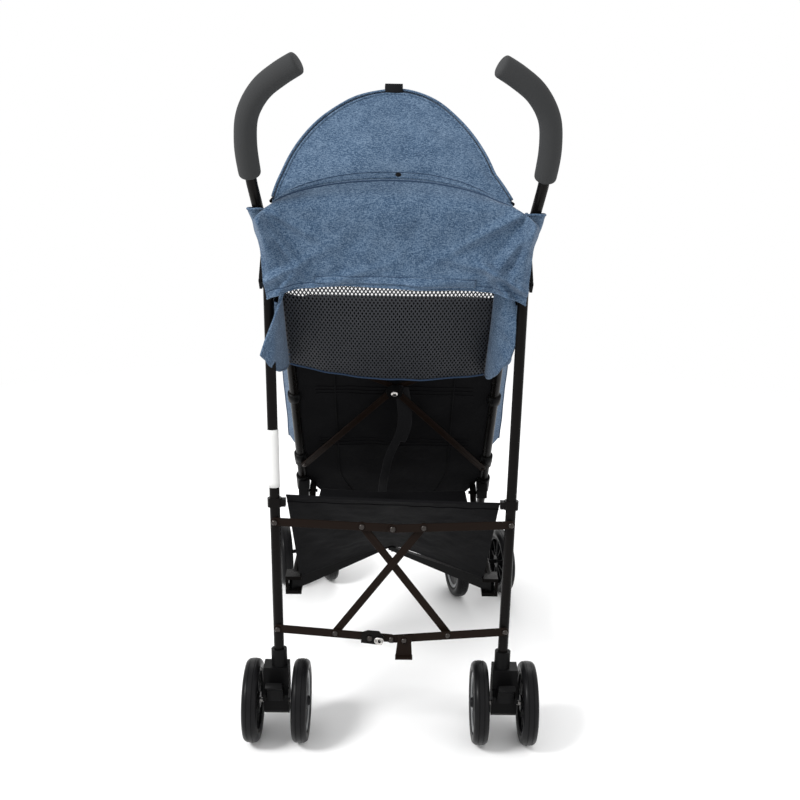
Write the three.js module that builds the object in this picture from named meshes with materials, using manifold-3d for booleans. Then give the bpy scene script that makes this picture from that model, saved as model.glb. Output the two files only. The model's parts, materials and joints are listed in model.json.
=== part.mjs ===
// Folding umbrella stroller with two curved push handles.
// Millimetres, +Z up, +Y is the direction of travel, origin on the floor under the middle of the box.

import * as THREE from 'three';
import { mergeVertices } from 'three/addons/utils/BufferGeometryUtils.js';
import Module from 'manifold-3d';

const wasm = await Module();
wasm.setup();

const { cos, sin, tan, PI } = Math;
const deg = (angle) => (angle * PI) / 180;
const at = (x, y, z) => new THREE.Vector3(x, y, z);

// ---------------------------------------------------------------- driving dimensions

// the origin's place, measured in the frame that the dimensions below use
const CENTRE_Y = 40.8;

// main tubes
const TUBE_RADIUS = 8;
const TUBE_WALL = 1.5;
const MAIN_ANGLE = deg(55); // from the floor
const MAIN_X = 173; // half the distance between the straight parts
const HANDLE_X = 203;
const HANDLE_Y = -246;
const HANDLE_Z = 897; // lower end of the grips
const MAIN_FOOT_Z = 168;
const BEND_Z = 600; // the tubes are straight below this
const GRIP_RADIUS = 15.5;

// rear legs
const LEG_ANGLE = deg(6.5); // from upright
const LEG_PIVOT = { y: -164, z: 735 };
const LEG_TOP_X = 191;
const LEG_FOOT_X = 176.8;
const LEG_FOOT_Z = 122;

// cross linkage behind the legs
const LOWER_RIVET_Z = 194.5;
const UPPER_RIVET_RISE = 174; // up the leg from the lower rivets
const LOWER_HALF = 178.5;
const UPPER_HALF = 182.5;
const LOWER_SAG = deg(4.5);
const UPPER_SAG = deg(2.5);
const STRUT_TOP_REACH = 48; // from the middle of the upper bars
const STRUT_FOOT_REACH = 89; // from the middle of the lower bars
const BAR_HEIGHT = 13;
const BAR_THICK = 2.5;
const RIVET_RADIUS = 2.6;
const HEAD_RADIUS = 4.6;
const HEAD_RISE = 1.8;

// wheels
const WHEEL_RADIUS = 66;
const WHEEL_WIDTH = 27;
const RIM_RADIUS = 51;
const AXLE_RADIUS = 4;
const REAR_AXLE = { y: -233, z: 66 };
const REAR_PAIR_X = 181.5;
const REAR_SPREAD = 38.5;
const FRONT_SPREAD = 48;
const CASTER_X = 175;
const CASTER_Y = 315;
const CASTER_TRAIL = 25;
const CASTER_TURN = { left: deg(192), right: deg(12) };

// side rails, the basket bars and the brace behind the back
const RAIL_RADIUS = 6;
const RAIL_X = 153;
const RAIL_PIVOT = { y: 165, z: 271 };
const RAIL_BACK = { x: 173, y: -12, z: 165 };
const RAIL_FRONT = { y: 320, z: 310 };
const BASKET_BAR_APEX_Y = 150;
const BRACE_CLIP_Z = 345;
const BRACE_X = 165;
const BRACE_LOWER_RISE = 228; // from the clips to the hub, along the tubes
const BRACE_UPPER_RISE = 97; // from the hub to the upper ends

const LOCK_REACH = 34; // from the middle of the lower bars
const PEDAL_REACH = 20;
const BASKET_BAR_END = 20; // height of the basket bars at their rear ends

// fabric
const CLOTH = 2.5;
const SEAT_TILT = deg(14);
const SEAT_HALF = 142;
const SEAT_BACK_Z = 318;
const SEAT_BACK_TOP = 716;
const SEAT_BACK_SETBACK = 11; // from the tubes' centre lines to the back of the pad
const SEAT_BACK_HALF = 152;
const MESH_BOTTOM_Z = 560;
const MESH_TOP_Z = 716;
const CANOPY_HINGE = { y: -215, z: 853 };
const CANOPY_FRONT = { half: 175, reach: 206, from: deg(50), to: deg(14) };
const ARCH_POWER = 1.05;
const BASKET_TURN = 0.8;

const GAP = 0.4; // running clearance

// ---------------------------------------------------------------- finishes

const FINISHES = {
  painted: { color: 0x0f0e0e, roughness: 0.35, metalness: 0.4 },
  bar: { color: 0x1d1512, roughness: 0.4, metalness: 0.5 },
  steel: { color: 0xb8b8b8, roughness: 0.3, metalness: 1.0 },
  foam: { color: 0x3c3f41, roughness: 0.9, metalness: 0.0 },
  plastic: { color: 0x141414, roughness: 0.45, metalness: 0.0 },
  tyre: { color: 0x26282a, roughness: 0.35, metalness: 0.0 },
  hub: { color: 0x2e3032, roughness: 0.5, metalness: 0.0 },
  blueFabric: { color: 0x4f6d92, roughness: 0.95, metalness: 0.0 },
  blackFabric: { color: 0x121213, roughness: 0.95, metalness: 0.0 },
  mesh: { color: 0x1b1d22, roughness: 0.9, metalness: 0.0 },
};

// ---------------------------------------------------------------- closed solids

function toSolid(geometry) {
  if (geometry instanceof wasm.Manifold) return geometry;
  const bare = geometry.clone();
  bare.deleteAttribute('normal');
  bare.deleteAttribute('uv');
  const merged = mergeVertices(bare, 1e-3);
  const triVerts = Uint32Array.from(merged.index.array);
  const vertProperties = Float32Array.from(merged.attributes.position.array);
  if (signedVolume(vertProperties, triVerts) < 0) turnFaces(triVerts);
  return new wasm.Manifold(new wasm.Mesh({ numProp: 3, vertProperties, triVerts }));
}

function signedVolume(points, triangles) {
  let six = 0;
  for (let i = 0; i < triangles.length; i += 3) {
    const [a, b, c] = [0, 1, 2].map((k) => new THREE.Vector3().fromArray(points, 3 * triangles[i + k]));
    six += a.dot(b.cross(c));
  }
  return six / 6;
}

function turnFaces(triangles) {
  for (let i = 0; i < triangles.length; i += 3) {
    [triangles[i], triangles[i + 1]] = [triangles[i + 1], triangles[i]];
  }
}

function join(...parts) {
  return parts.map(toSolid).reduce((sum, part) => sum.add(part));
}

function cut(body, ...tools) {
  return tools.map(toSolid).reduce((rest, tool) => rest.subtract(tool), toSolid(body));
}

function toGeometry(solid) {
  const { vertProperties, triVerts } = toSolid(solid).getMesh();
  const geometry = new THREE.BufferGeometry();
  geometry.setAttribute('position', new THREE.BufferAttribute(vertProperties, 3));
  geometry.setIndex(new THREE.BufferAttribute(triVerts, 1));
  geometry.computeVertexNormals();
  return geometry;
}

// ---------------------------------------------------------------- basic shapes

function aim(geometry, from, to) {
  const along = to.clone().sub(from).normalize();
  const turn = new THREE.Quaternion().setFromUnitVectors(at(0, 1, 0), along);
  return geometry.applyQuaternion(turn).translate(from.x, from.y, from.z);
}

function rod(from, to, radius, sides = 12, endRadius = radius) {
  const length = from.distanceTo(to);
  const cylinder = new THREE.CylinderGeometry(endRadius, radius, length, sides);
  return aim(cylinder.translate(0, length / 2, 0), from, to);
}

function tube(from, to, radius, wall, sides = 12) {
  const length = from.distanceTo(to);
  const inner = radius - wall;
  const profile = [
    [inner, 0],
    [radius, 0],
    [radius, length],
    [inner, length],
    [inner, 0],
  ].map(([r, y]) => new THREE.Vector2(r, y));
  return aim(new THREE.LatheGeometry(profile, sides), from, to);
}

function circle(radius, x = 0, y = 0) {
  return new THREE.Path().absarc(x, y, radius, 0, 2 * PI, true);
}

// a tube along a curve; a wall of 0 makes it solid
function bentTube(curve, radius, wall, steps, sides = 12) {
  const section = new THREE.Shape().absarc(0, 0, radius, 0, 2 * PI, false);
  if (wall > 0) section.holes.push(circle(radius - wall));
  return new THREE.ExtrudeGeometry(section, { steps, curveSegments: sides / 2, extrudePath: curve });
}

// the stretch of a curve through a list of shares of its length
class Stretch extends THREE.Curve {
  constructor(whole, shares) {
    super();
    Object.assign(this, { whole, shares });
  }

  getPoint(t, target) {
    const place = t * (this.shares.length - 1);
    const i = Math.min(Math.floor(place), this.shares.length - 2);
    const share = THREE.MathUtils.lerp(this.shares[i], this.shares[i + 1], place - i);
    return this.whole.getPointAt(share, target);
  }

  getUtoTmapping(u) {
    return u;
  }
}

function evenly(from, to, steps) {
  return Array.from({ length: steps + 1 }, (_, i) => THREE.MathUtils.lerp(from, to, i / steps));
}

function tubeThrough(whole, shares, radius, wall, sides = 12) {
  return bentTube(new Stretch(whole, shares), radius, wall, shares.length - 1, sides);
}

// an outline in the YZ plane, given thickness along X
function sidePlate(points, xLow, xHigh) {
  const outline = new THREE.Shape(points.map(([y, z]) => new THREE.Vector2(y, z)));
  const plate = new THREE.ExtrudeGeometry(outline, { depth: xHigh - xLow, bevelEnabled: false });
  const basis = new THREE.Matrix4().makeBasis(at(0, 1, 0), at(0, 0, 1), at(1, 0, 0));
  return plate.applyMatrix4(basis).translate(xLow, 0, 0);
}

// a flat bar with round ends, from x = 0 to x = length, with a hole at each given x
function flatBar(length, height, thick, holes = [], holeRadius = RIVET_RADIUS + GAP) {
  const r = height / 2;
  const outline = new THREE.Shape();
  outline.absarc(0, 0, r, PI / 2, (3 * PI) / 2, false);
  outline.absarc(length, 0, r, -PI / 2, PI / 2, false);
  for (const x of holes) outline.holes.push(circle(holeRadius, x));
  return new THREE.ExtrudeGeometry(outline, { depth: thick, bevelEnabled: false, curveSegments: 4 });
}

// a rivet along Z with a head above and a smaller one below
function rivet(x, y, zLow, zHigh) {
  const shank = rod(at(x, y, zLow), at(x, y, zHigh), RIVET_RADIUS, 8);
  const head = rod(at(x, y, zHigh - 0.01), at(x, y, zHigh + HEAD_RISE), HEAD_RADIUS, 10, HEAD_RADIUS * 0.6);
  return join(shank, head);
}

// a cloth of even thickness over a grid of points: surface(u, v) with u and v from 0 to 1
function cloth(surface, columns, rows, thick) {
  const outer = [];
  for (let j = 0; j <= rows; j++) {
    for (let i = 0; i <= columns; i++) outer.push(surface(i / columns, j / rows));
  }
  const index = (i, j) => j * (columns + 1) + i;
  const across = (i, j) => outer[index(Math.min(i + 1, columns), j)].clone().sub(outer[index(Math.max(i - 1, 0), j)]);
  const along = (i, j) => outer[index(i, Math.min(j + 1, rows))].clone().sub(outer[index(i, Math.max(j - 1, 0))]);
  const inner = outer.map((point, k) => {
    const i = k % (columns + 1);
    const j = (k - i) / (columns + 1);
    const normal = across(i, j).cross(along(i, j)).normalize();
    return point.clone().addScaledVector(normal, thick);
  });
  const count = outer.length;
  const faces = [];
  const quad = (a, b, c, d) => faces.push(a, b, c, a, c, d);
  for (let j = 0; j < rows; j++) {
    for (let i = 0; i < columns; i++) {
      const [a, b, c, d] = [index(i, j), index(i + 1, j), index(i + 1, j + 1), index(i, j + 1)];
      quad(a, b, c, d);
      quad(count + d, count + c, count + b, count + a);
    }
  }
  for (let i = 0; i < columns; i++) {
    quad(index(i + 1, 0), index(i, 0), count + index(i, 0), count + index(i + 1, 0));
    quad(index(i, rows), index(i + 1, rows), count + index(i + 1, rows), count + index(i, rows));
  }
  for (let j = 0; j < rows; j++) {
    quad(index(0, j), index(0, j + 1), count + index(0, j + 1), count + index(0, j));
    quad(index(columns, j + 1), index(columns, j), count + index(columns, j), count + index(columns, j + 1));
  }
  const geometry = new THREE.BufferGeometry();
  geometry.setAttribute('position', new THREE.Float32BufferAttribute([...outer, ...inner].flatMap((p) => p.toArray()), 3));
  geometry.setIndex(faces);
  return geometry;
}

// ---------------------------------------------------------------- scene graph

const stroller = new THREE.Group();
stroller.position.y = -CENTRE_Y;

function add(parent, name, shape, finish) {
  const mesh = new THREE.Mesh(toGeometry(shape), new THREE.MeshStandardMaterial(FINISHES[finish]));
  mesh.name = name;
  parent.add(mesh);
  return mesh;
}

function groupAt(parent, origin, xAxis = at(1, 0, 0), yAxis = at(0, 1, 0)) {
  const group = new THREE.Group();
  const basis = new THREE.Matrix4().makeBasis(xAxis, yAxis, xAxis.clone().cross(yAxis));
  group.quaternion.setFromRotationMatrix(basis);
  group.position.copy(origin);
  parent.add(group);
  return group;
}

// pieces of the side frames are shaped for the right and mirrored for the left
const SIDES = { left: -1, right: 1 };

function addPair(name, shape, finish) {
  for (const [side, sign] of Object.entries(SIDES)) {
    const own = toGeometry(shape);
    if (sign < 0) own.scale(-1, 1, 1);
    add(stroller, `${name}_${side}`, own, finish);
  }
}

// ---------------------------------------------------------------- lines of the frame

const mainUp = at(0, -cos(MAIN_ANGLE), sin(MAIN_ANGLE));
const mainBack = at(0, -sin(MAIN_ANGLE), -cos(MAIN_ANGLE));
const mainY = (z) => HANDLE_Y + (HANDLE_Z - z) / tan(MAIN_ANGLE);
const mainPoint = (z, x = MAIN_X) => at(x, mainY(z), z);

const legUp = at(0, sin(LEG_ANGLE), cos(LEG_ANGLE));
const legY = (z) => LEG_PIVOT.y - (LEG_PIVOT.z - z) * tan(LEG_ANGLE);
const legX = (z) => THREE.MathUtils.mapLinear(z, LEG_PIVOT.z, LEG_FOOT_Z, LEG_TOP_X, LEG_FOOT_X);
const legPoint = (z) => at(legX(z), legY(z), z);

const mainCurve = new THREE.CatmullRomCurve3([
  mainPoint(MAIN_FOOT_Z),
  mainPoint(400),
  mainPoint(600),
  mainPoint(680, MAIN_X + 4),
  mainPoint(HANDLE_Z, HANDLE_X),
  at(HANDLE_X + 2, HANDLE_Y - 24, HANDLE_Z + 48),
  at(HANDLE_X - 4, HANDLE_Y - 40, HANDLE_Z + 83),
  at(HANDLE_X - 24, HANDLE_Y - 56, HANDLE_Z + 114),
  at(HANDLE_X - 50, HANDLE_Y - 66, HANDLE_Z + 134),
  at(HANDLE_X - 74, HANDLE_Y - 73, HANDLE_Z + 148),
]);
const gripStart = nearestShare(mainCurve, HANDLE_Z);

function nearestShare(curve, z) {
  const shares = Array.from({ length: 401 }, (_, i) => i / 400);
  return shares.find((share) => curve.getPointAt(share).z >= z);
}

// where the main tube is at a height
function tubeAt(z) {
  return mainCurve.getPointAt(nearestShare(mainCurve, z));
}

// ---------------------------------------------------------------- side frames

const along = (direction, distance) => direction.clone().multiplyScalar(distance);

// ring round the main tube with a lug on its inner rear, which holds the brace's lower arm
function braceClip() {
  const middle = mainPoint(BRACE_CLIP_Z);
  const ring = tube(middle.clone().add(along(mainUp, -11)), middle.clone().add(along(mainUp, 11)), 11, 3.5);
  const lugFrom = at(BRACE_X, middle.y, middle.z).add(along(mainBack, 8));
  const pinEnd = lugFrom.clone().add(along(mainBack, 9.4));
  const lug = join(
    rod(lugFrom, lugFrom.clone().add(along(mainBack, 5.6)), 8),
    rod(lugFrom, pinEnd, RIVET_RADIUS, 8),
  );
  return join(ring, cut(lug, rod(middle.clone().add(along(mainUp, -20)), middle.clone().add(along(mainUp, 20)), 7)));
}

// straight up to the bend, then outwards and round into the handle
const bendStart = nearestShare(mainCurve, BEND_Z);
const handleStart = gripStart - 0.015;
const handleShares = evenly(handleStart, 0.985, 8);
const mainShares = [0, ...evenly(bendStart, handleStart, 4).slice(0, -1), ...handleShares];
const mainTube = tubeThrough(mainCurve, mainShares, TUBE_RADIUS, TUBE_WALL);
addPair('main_tube', join(mainTube, braceClip()), 'painted');

function grip() {
  const shell = tubeThrough(mainCurve, evenly(gripStart, 0.999, 9), GRIP_RADIUS, 0, 14);
  const bore = tubeThrough(mainCurve, [...handleShares.slice(0, -1), 0.988], TUBE_RADIUS + 0.9, 0);
  return cut(shell, bore);
}
addPair('grip', grip(), 'foam');

// moulded clevis on the main tube: a sleeve with two ears that hold the leg's top on a pin
function legBracket() {
  const centre = tubeAt(LEG_PIVOT.z + 17);
  const low = tubeAt(LEG_PIVOT.z - 12);
  const high = tubeAt(LEG_PIVOT.z + 44);
  const sleeve = rod(low, high, 13, 14);
  const earY = LEG_PIVOT.y - 11;
  const outline = [
    [centre.y - 2, centre.z + 16],
    [earY + 2, LEG_PIVOT.z + 8],
    [earY, LEG_PIVOT.z - 2],
    [LEG_PIVOT.y - 3, LEG_PIVOT.z - 12],
    [LEG_PIVOT.y + 8, LEG_PIVOT.z - 11],
    [centre.y + 12, centre.z - 18],
  ];
  const slotHalf = TUBE_RADIUS + GAP + 0.3;
  const inner = sidePlate(outline, LEG_TOP_X - slotHalf - 4, LEG_TOP_X - slotHalf);
  const outer = sidePlate(outline, LEG_TOP_X + slotHalf, LEG_TOP_X + slotHalf + 4);
  const pin = rod(
    at(LEG_TOP_X - slotHalf - 5.5, LEG_PIVOT.y, LEG_PIVOT.z),
    at(LEG_TOP_X + slotHalf + 5.5, LEG_PIVOT.y, LEG_PIVOT.z),
    3,
  );
  const legRoom = rod(legPoint(LEG_PIVOT.z - 60), legPoint(LEG_PIVOT.z + 9.5), TUBE_RADIUS + GAP + 0.3, 12);
  const swing = new THREE.Matrix4().makeRotationX(deg(15));
  const tubeRoom = tubeThrough(mainCurve, mainShares.slice(1, 7), TUBE_RADIUS + 0.5, 0);
  const rooms = [0, 1, 2].map((step) => {
    const room = legRoom.clone().translate(0, -LEG_PIVOT.y, -LEG_PIVOT.z);
    for (let i = 0; i < step; i++) room.applyMatrix4(swing);
    return room.translate(0, LEG_PIVOT.y, LEG_PIVOT.z);
  });
  return join(cut(join(sleeve, inner, outer), tubeRoom, ...rooms), pin);
}
addPair('leg_bracket', legBracket(), 'plastic');

function rearLeg() {
  const body = tube(legPoint(LEG_FOOT_Z), legPoint(LEG_PIVOT.z + 7), TUBE_RADIUS, TUBE_WALL);
  const bars = new THREE.BoxGeometry(40, 10, 30).translate(0, -5 - TUBE_RADIUS - 0.1, 0).rotateX(-LEG_ANGLE);
  const clip = cut(rod(legPoint(389), legPoint(403), 11.5), bars.translate(0, legY(396), 396).translate(legX(396), 0, 0));
  const tab = sidePlate(
    [
      [legY(396) - 5, 390],
      [legY(396) + 5, 390],
      [legY(396) + 5, 402],
      [legY(396) - 5, 402],
    ],
    legX(396) - 17,
    legX(396) - 9,
  );
  const clipHole = rod(legPoint(380), legPoint(412), TUBE_RADIUS - TUBE_WALL);
  const pinHole = rod(at(150, LEG_PIVOT.y, LEG_PIVOT.z), at(230, LEG_PIVOT.y, LEG_PIVOT.z), 3 + GAP);
  return cut(join(body, cut(join(clip, tab), clipHole)), pinHole);
}

// a block low on the main tube with a pin on its inner face, which the side rail turns on
function railBracket() {
  const centre = mainPoint(RAIL_PIVOT.z + 13);
  const sleeve = rod(
    centre.clone().add(along(mainUp, -20)),
    centre.clone().add(along(mainUp, 20)),
    12,
    18,
  );
  const outline = [
    [centre.y - 2, centre.z + 20],
    [RAIL_PIVOT.y - 12, RAIL_PIVOT.z + 6],
    [RAIL_PIVOT.y - 10, RAIL_PIVOT.z - 8],
    [RAIL_PIVOT.y + 2, RAIL_PIVOT.z - 12],
    [centre.y + 10, centre.z - 22],
  ];
  const cheek = sidePlate(outline, RAIL_X + RAIL_RADIUS + 1, MAIN_X + 6);
  const tubeRoom = rod(
    centre.clone().add(along(mainUp, -60)),
    centre.clone().add(along(mainUp, 60)),
    TUBE_RADIUS + 0.4,
    18,
  );
  const pin = rod(
    at(RAIL_X + RAIL_RADIUS + 2, RAIL_PIVOT.y, RAIL_PIVOT.z),
    at(RAIL_X - RAIL_RADIUS - 3, RAIL_PIVOT.y, RAIL_PIVOT.z),
    3,
  );
  return join(cut(join(sleeve, cheek), tubeRoom), pin);
}
addPair('rail_bracket', railBracket(), 'plastic');

// moulded foot of the main tube, with an upright bore for the caster's spindle
function casterHousing() {
  const socketTop = mainPoint(MAIN_FOOT_Z + 42);
  const socketFoot = mainPoint(MAIN_FOOT_Z - 6);
  const socket = rod(socketFoot, socketTop, 12.5, 12);
  const barrel = rod(at(CASTER_X, CASTER_Y, 136), at(CASTER_X, CASTER_Y, 184), 16, 14);
  const web = sidePlate(
    [
      [socketFoot.y - 12, 170],
      [socketFoot.y, 150],
      [CASTER_Y - 6, 138],
      [CASTER_Y, 182],
      [socketFoot.y + 6, 190],
    ],
    MAIN_X - 10,
    MAIN_X + 12,
  );
  const tubeRoom = rod(mainPoint(MAIN_FOOT_Z - 1), mainPoint(MAIN_FOOT_Z + 80), TUBE_RADIUS + 0.4, 12);
  const spindleRoom = rod(at(CASTER_X, CASTER_Y, 130), at(CASTER_X, CASTER_Y, 178), 6.5);
  return cut(join(socket, barrel, web), tubeRoom, spindleRoom);
}
addPair('caster_housing', casterHousing(), 'plastic');

addPair('rear_leg', join(rearLeg(), legRivets()), 'painted');

// rivets that hold the cross bars on the rear of the leg
function legRivets() {
  const heights = [LOWER_RIVET_Z, LOWER_RIVET_Z + UPPER_RIVET_RISE * cos(LEG_ANGLE)];
  const back = at(0, -cos(LEG_ANGLE), sin(LEG_ANGLE));
  return join(
    ...heights.map((z) => {
      const from = legPoint(z);
      const shankEnd = from.clone().add(along(back, 14.6));
      const head = rod(shankEnd, shankEnd.clone().add(along(back, HEAD_RISE)), HEAD_RADIUS, 10, HEAD_RADIUS * 0.6);
      return join(rod(from.clone().add(along(back, 7)), shankEnd, RIVET_RADIUS, 8), head);
    }),
  );
}

// ---------------------------------------------------------------- rear wheels and brakes

function rearHousing() {
  const top = legPoint(158);
  const foot = legPoint(LEG_FOOT_Z - 10);
  const socket = rod(foot, top, 12.5, 12);
  const block = sidePlate(
    [
      [REAR_AXLE.y - 16, 56],
      [REAR_AXLE.y - 8, 48],
      [REAR_AXLE.y + 8, 48],
      [REAR_AXLE.y + 17, 56],
      [REAR_AXLE.y + 20, 96],
      [legY(130) + 14, 132],
      [legY(130) - 14, 132],
      [REAR_AXLE.y - 17, 108],
    ],
    REAR_PAIR_X - 20,
    REAR_PAIR_X + 20,
  );
  const legRoom = rod(legPoint(LEG_FOOT_Z - 0.5), legPoint(220), TUBE_RADIUS + 0.4, 12);
  const axleRoom = rod(at(150, REAR_AXLE.y, REAR_AXLE.z), at(230, REAR_AXLE.y, REAR_AXLE.z), AXLE_RADIUS + GAP);
  return cut(join(socket, block), legRoom, axleRoom);
}

const PEDAL_PIVOT = { y: -258, z: 88 };

// two lugs behind the rear housing hold the brake pedal's pin
function pedalLugs() {
  const outline = [
    [REAR_AXLE.y - 14, 80],
    [PEDAL_PIVOT.y - 6, PEDAL_PIVOT.z - 5],
    [PEDAL_PIVOT.y - 6, PEDAL_PIVOT.z + 6],
    [REAR_AXLE.y - 14, 100],
  ];
  const lugs = [-1, 1].map((side) => {
    const middle = REAR_PAIR_X + side * 17.5;
    return sidePlate(outline, middle - 2.5, middle + 2.5);
  });
  const pin = rod(
    at(REAR_PAIR_X - 16, PEDAL_PIVOT.y, PEDAL_PIVOT.z),
    at(REAR_PAIR_X + 16, PEDAL_PIVOT.y, PEDAL_PIVOT.z),
    2.5,
  );
  return join(...lugs, pin);
}
addPair('rear_housing', join(rearHousing(), pedalLugs()), 'plastic');

function brakePedal() {
  const width = 26;
  const xLow = REAR_PAIR_X - width / 2;
  const lever = sidePlate(
    [
      [PEDAL_PIVOT.y + 4, PEDAL_PIVOT.z - 5],
      [PEDAL_PIVOT.y + 5, PEDAL_PIVOT.z + 4],
      [PEDAL_PIVOT.y - 2, PEDAL_PIVOT.z + 22],
      [PEDAL_PIVOT.y - 24, PEDAL_PIVOT.z + 36],
      [PEDAL_PIVOT.y - 28, PEDAL_PIVOT.z + 31],
      [PEDAL_PIVOT.y - 9, PEDAL_PIVOT.z + 16],
      [PEDAL_PIVOT.y - 5, PEDAL_PIVOT.z - 5],
    ],
    xLow,
    xLow + width,
  );
  const ribs = [0, 1, 2, 3].map((i) => {
    const y = PEDAL_PIVOT.y - 7 - 5 * i;
    const z = PEDAL_PIVOT.z + 25.5 + 3.2 * i;
    return rod(at(xLow + 1, y, z), at(xLow + width - 1, y, z), 1.8, 8);
  });
  const pinRoom = rod(at(100, PEDAL_PIVOT.y, PEDAL_PIVOT.z), at(260, PEDAL_PIVOT.y, PEDAL_PIVOT.z), 2.5 + GAP, 12);
  return cut(join(lever, ...ribs), pinRoom);
}
addPair('brake_pedal', brakePedal(), 'plastic');

const axleHalf = REAR_SPREAD + WHEEL_WIDTH / 2 + 1;
addPair(
  'rear_axle',
  rod(
    at(REAR_PAIR_X - axleHalf, REAR_AXLE.y, REAR_AXLE.z),
    at(REAR_PAIR_X + axleHalf, REAR_AXLE.y, REAR_AXLE.z),
    AXLE_RADIUS,
    12,
  ),
  'steel',
);

// a ring of revolution about X
function spun(profile, sides) {
  const points = profile.map(([r, x]) => new THREE.Vector2(r, x));
  return new THREE.LatheGeometry(points, sides).rotateZ(-PI / 2);
}

function tyre() {
  const half = WHEEL_WIDTH / 2;
  return spun(
    [
      [RIM_RADIUS, -half + 1],
      [WHEEL_RADIUS - 5, -half + 1],
      [WHEEL_RADIUS, -half + 7],
      [WHEEL_RADIUS, half - 7],
      [WHEEL_RADIUS - 5, half - 1],
      [RIM_RADIUS, half - 1],
      [RIM_RADIUS, -half + 1],
    ],
    24,
  );
}

// dished disc with a boss; its closed face is towards -X
function hub() {
  const half = WHEEL_WIDTH / 2;
  const bore = AXLE_RADIUS + GAP;
  return spun(
    [
      [bore, -half + 3],
      [RIM_RADIUS - 8, -half + 3],
      [RIM_RADIUS - 0.6, -half + 5],
      [RIM_RADIUS - 0.6, half - 4],
      [RIM_RADIUS - 5, half - 4],
      [RIM_RADIUS - 6, -half + 9],
      [12, -half + 9],
      [12, half - 1],
      [bore, half - 1],
      [bore, -half + 3],
    ],
    16,
  );
}

const tyreShape = tyre();
const hubShape = hub();

function addWheel(parent, name, x, closedTowards) {
  const wheel = groupAt(parent, at(x, 0, 0));
  if (closedTowards > 0) wheel.rotation.y = PI;
  add(wheel, `${name}_tyre`, tyreShape, 'tyre');
  add(wheel, `${name}_hub`, hubShape, 'hub');
}

for (const [side, sign] of Object.entries(SIDES)) {
  const axle = groupAt(stroller, at(sign * REAR_PAIR_X, REAR_AXLE.y, REAR_AXLE.z));
  addWheel(axle, `rear_${side}_outer_wheel`, sign * REAR_SPREAD, sign);
  addWheel(axle, `rear_${side}_inner_wheel`, -sign * REAR_SPREAD, -sign);
}

// ---------------------------------------------------------------- front casters

// upright spindle, a round shoulder and a leg down to the spindle of the two wheels
function casterFork() {
  const spindle = rod(at(0, 0, 60), at(0, 0, 108), 6);
  const shoulder = rod(at(0, 0, 58), at(0, 0, 68), 17, 14);
  const leg = sidePlate(
    [
      [-16, 62],
      [-CASTER_TRAIL - 13, 8],
      [-CASTER_TRAIL - 8, -9],
      [-CASTER_TRAIL + 8, -9],
      [-CASTER_TRAIL + 14, 4],
      [16, 52],
      [16, 62],
    ],
    -19,
    19,
  );
  const reach = FRONT_SPREAD + WHEEL_WIDTH / 2 + 1;
  const axle = rod(at(-reach, -CASTER_TRAIL, 0), at(reach, -CASTER_TRAIL, 0), AXLE_RADIUS, 12);
  return join(spindle, shoulder, leg, axle);
}

for (const [side, sign] of Object.entries(SIDES)) {
  const caster = groupAt(stroller, at(sign * CASTER_X, CASTER_Y, WHEEL_RADIUS));
  caster.rotation.z = CASTER_TURN[side];
  add(caster, `caster_fork_${side}`, casterFork(), 'plastic');
  const axle = groupAt(caster, at(0, -CASTER_TRAIL, 0));
  addWheel(axle, `front_${side}_a_wheel`, -FRONT_SPREAD, -1);
  addWheel(axle, `front_${side}_b_wheel`, FRONT_SPREAD, 1);
}

// ---------------------------------------------------------------- cross linkage

// local axes: X across, Y up the legs, Z backwards from the legs' centre lines
const linkage = groupAt(stroller, at(0, legY(LOWER_RIVET_Z), LOWER_RIVET_Z), at(1, 0, 0), legUp);

const LAYER_LEFT = 8.5;
const LAYER_RIGHT = LAYER_LEFT + BAR_THICK + GAP;
const LAYER_LOCK = LAYER_RIGHT + BAR_THICK + GAP;
const LAYER_PEDAL = LAYER_LOCK + BAR_THICK + HEAD_RISE + 2 * GAP;
const STRUT_LAYERS = { left: 2.4, right: 5.4 };
const barLength = (half, sag) => half / cos(sag);
const lowerLength = barLength(LOWER_HALF, LOWER_SAG);
const upperLength = barLength(UPPER_HALF, UPPER_SAG);

// a bar from a leg's rivet to the middle, sagging towards the middle
function crossBar(name, half, rise, sag, sign, extras) {
  const length = barLength(half, sag);
  const layer = sign < 0 ? LAYER_LEFT : LAYER_RIGHT;
  const group = groupAt(linkage, at(sign * half, rise, 0));
  group.rotation.z = -sign * -sag + (sign > 0 ? PI : 0);
  const bar = flatBar(length, BAR_HEIGHT, BAR_THICK, [0, ...extras.holes]).translate(0, 0, layer);
  add(group, name, join(bar, ...extras.more), 'bar');
  return group;
}

const strutTop = upperLength - STRUT_TOP_REACH;
const strutFoot = lowerLength - STRUT_FOOT_REACH;
const rightTop = LAYER_RIGHT + BAR_THICK;
const leftTop = LAYER_LEFT + BAR_THICK;

const lowerLeft = crossBar('lower_bar_left', LOWER_HALF, 0, LOWER_SAG, -1, {
  holes: [],
  more: [
    rivet(lowerLength, 0, leftTop - 1, rightTop + GAP),
    rivet(strutFoot, 0, leftTop - 1, leftTop),
    rivet(lowerLength - LOCK_REACH, 0, leftTop - 1, LAYER_LOCK + BAR_THICK + GAP),
  ],
});
const lowerRight = crossBar('lower_bar_right', LOWER_HALF, 0, LOWER_SAG, 1, {
  holes: [lowerLength],
  more: [
    rivet(strutFoot, 0, rightTop - 1, rightTop),
    rivet(lowerLength - PEDAL_REACH, 0, rightTop - 1, LAYER_PEDAL + BAR_THICK + GAP),
    rod(at(lowerLength - PEDAL_REACH, 0, rightTop - 1), at(lowerLength - PEDAL_REACH, 0, LAYER_PEDAL - GAP), 5),
  ],
});
crossBar('upper_bar_left', UPPER_HALF, UPPER_RIVET_RISE, UPPER_SAG, -1, {
  holes: [],
  more: [rivet(strutTop, 0, STRUT_LAYERS.left - 0.8, leftTop)],
});
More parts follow.
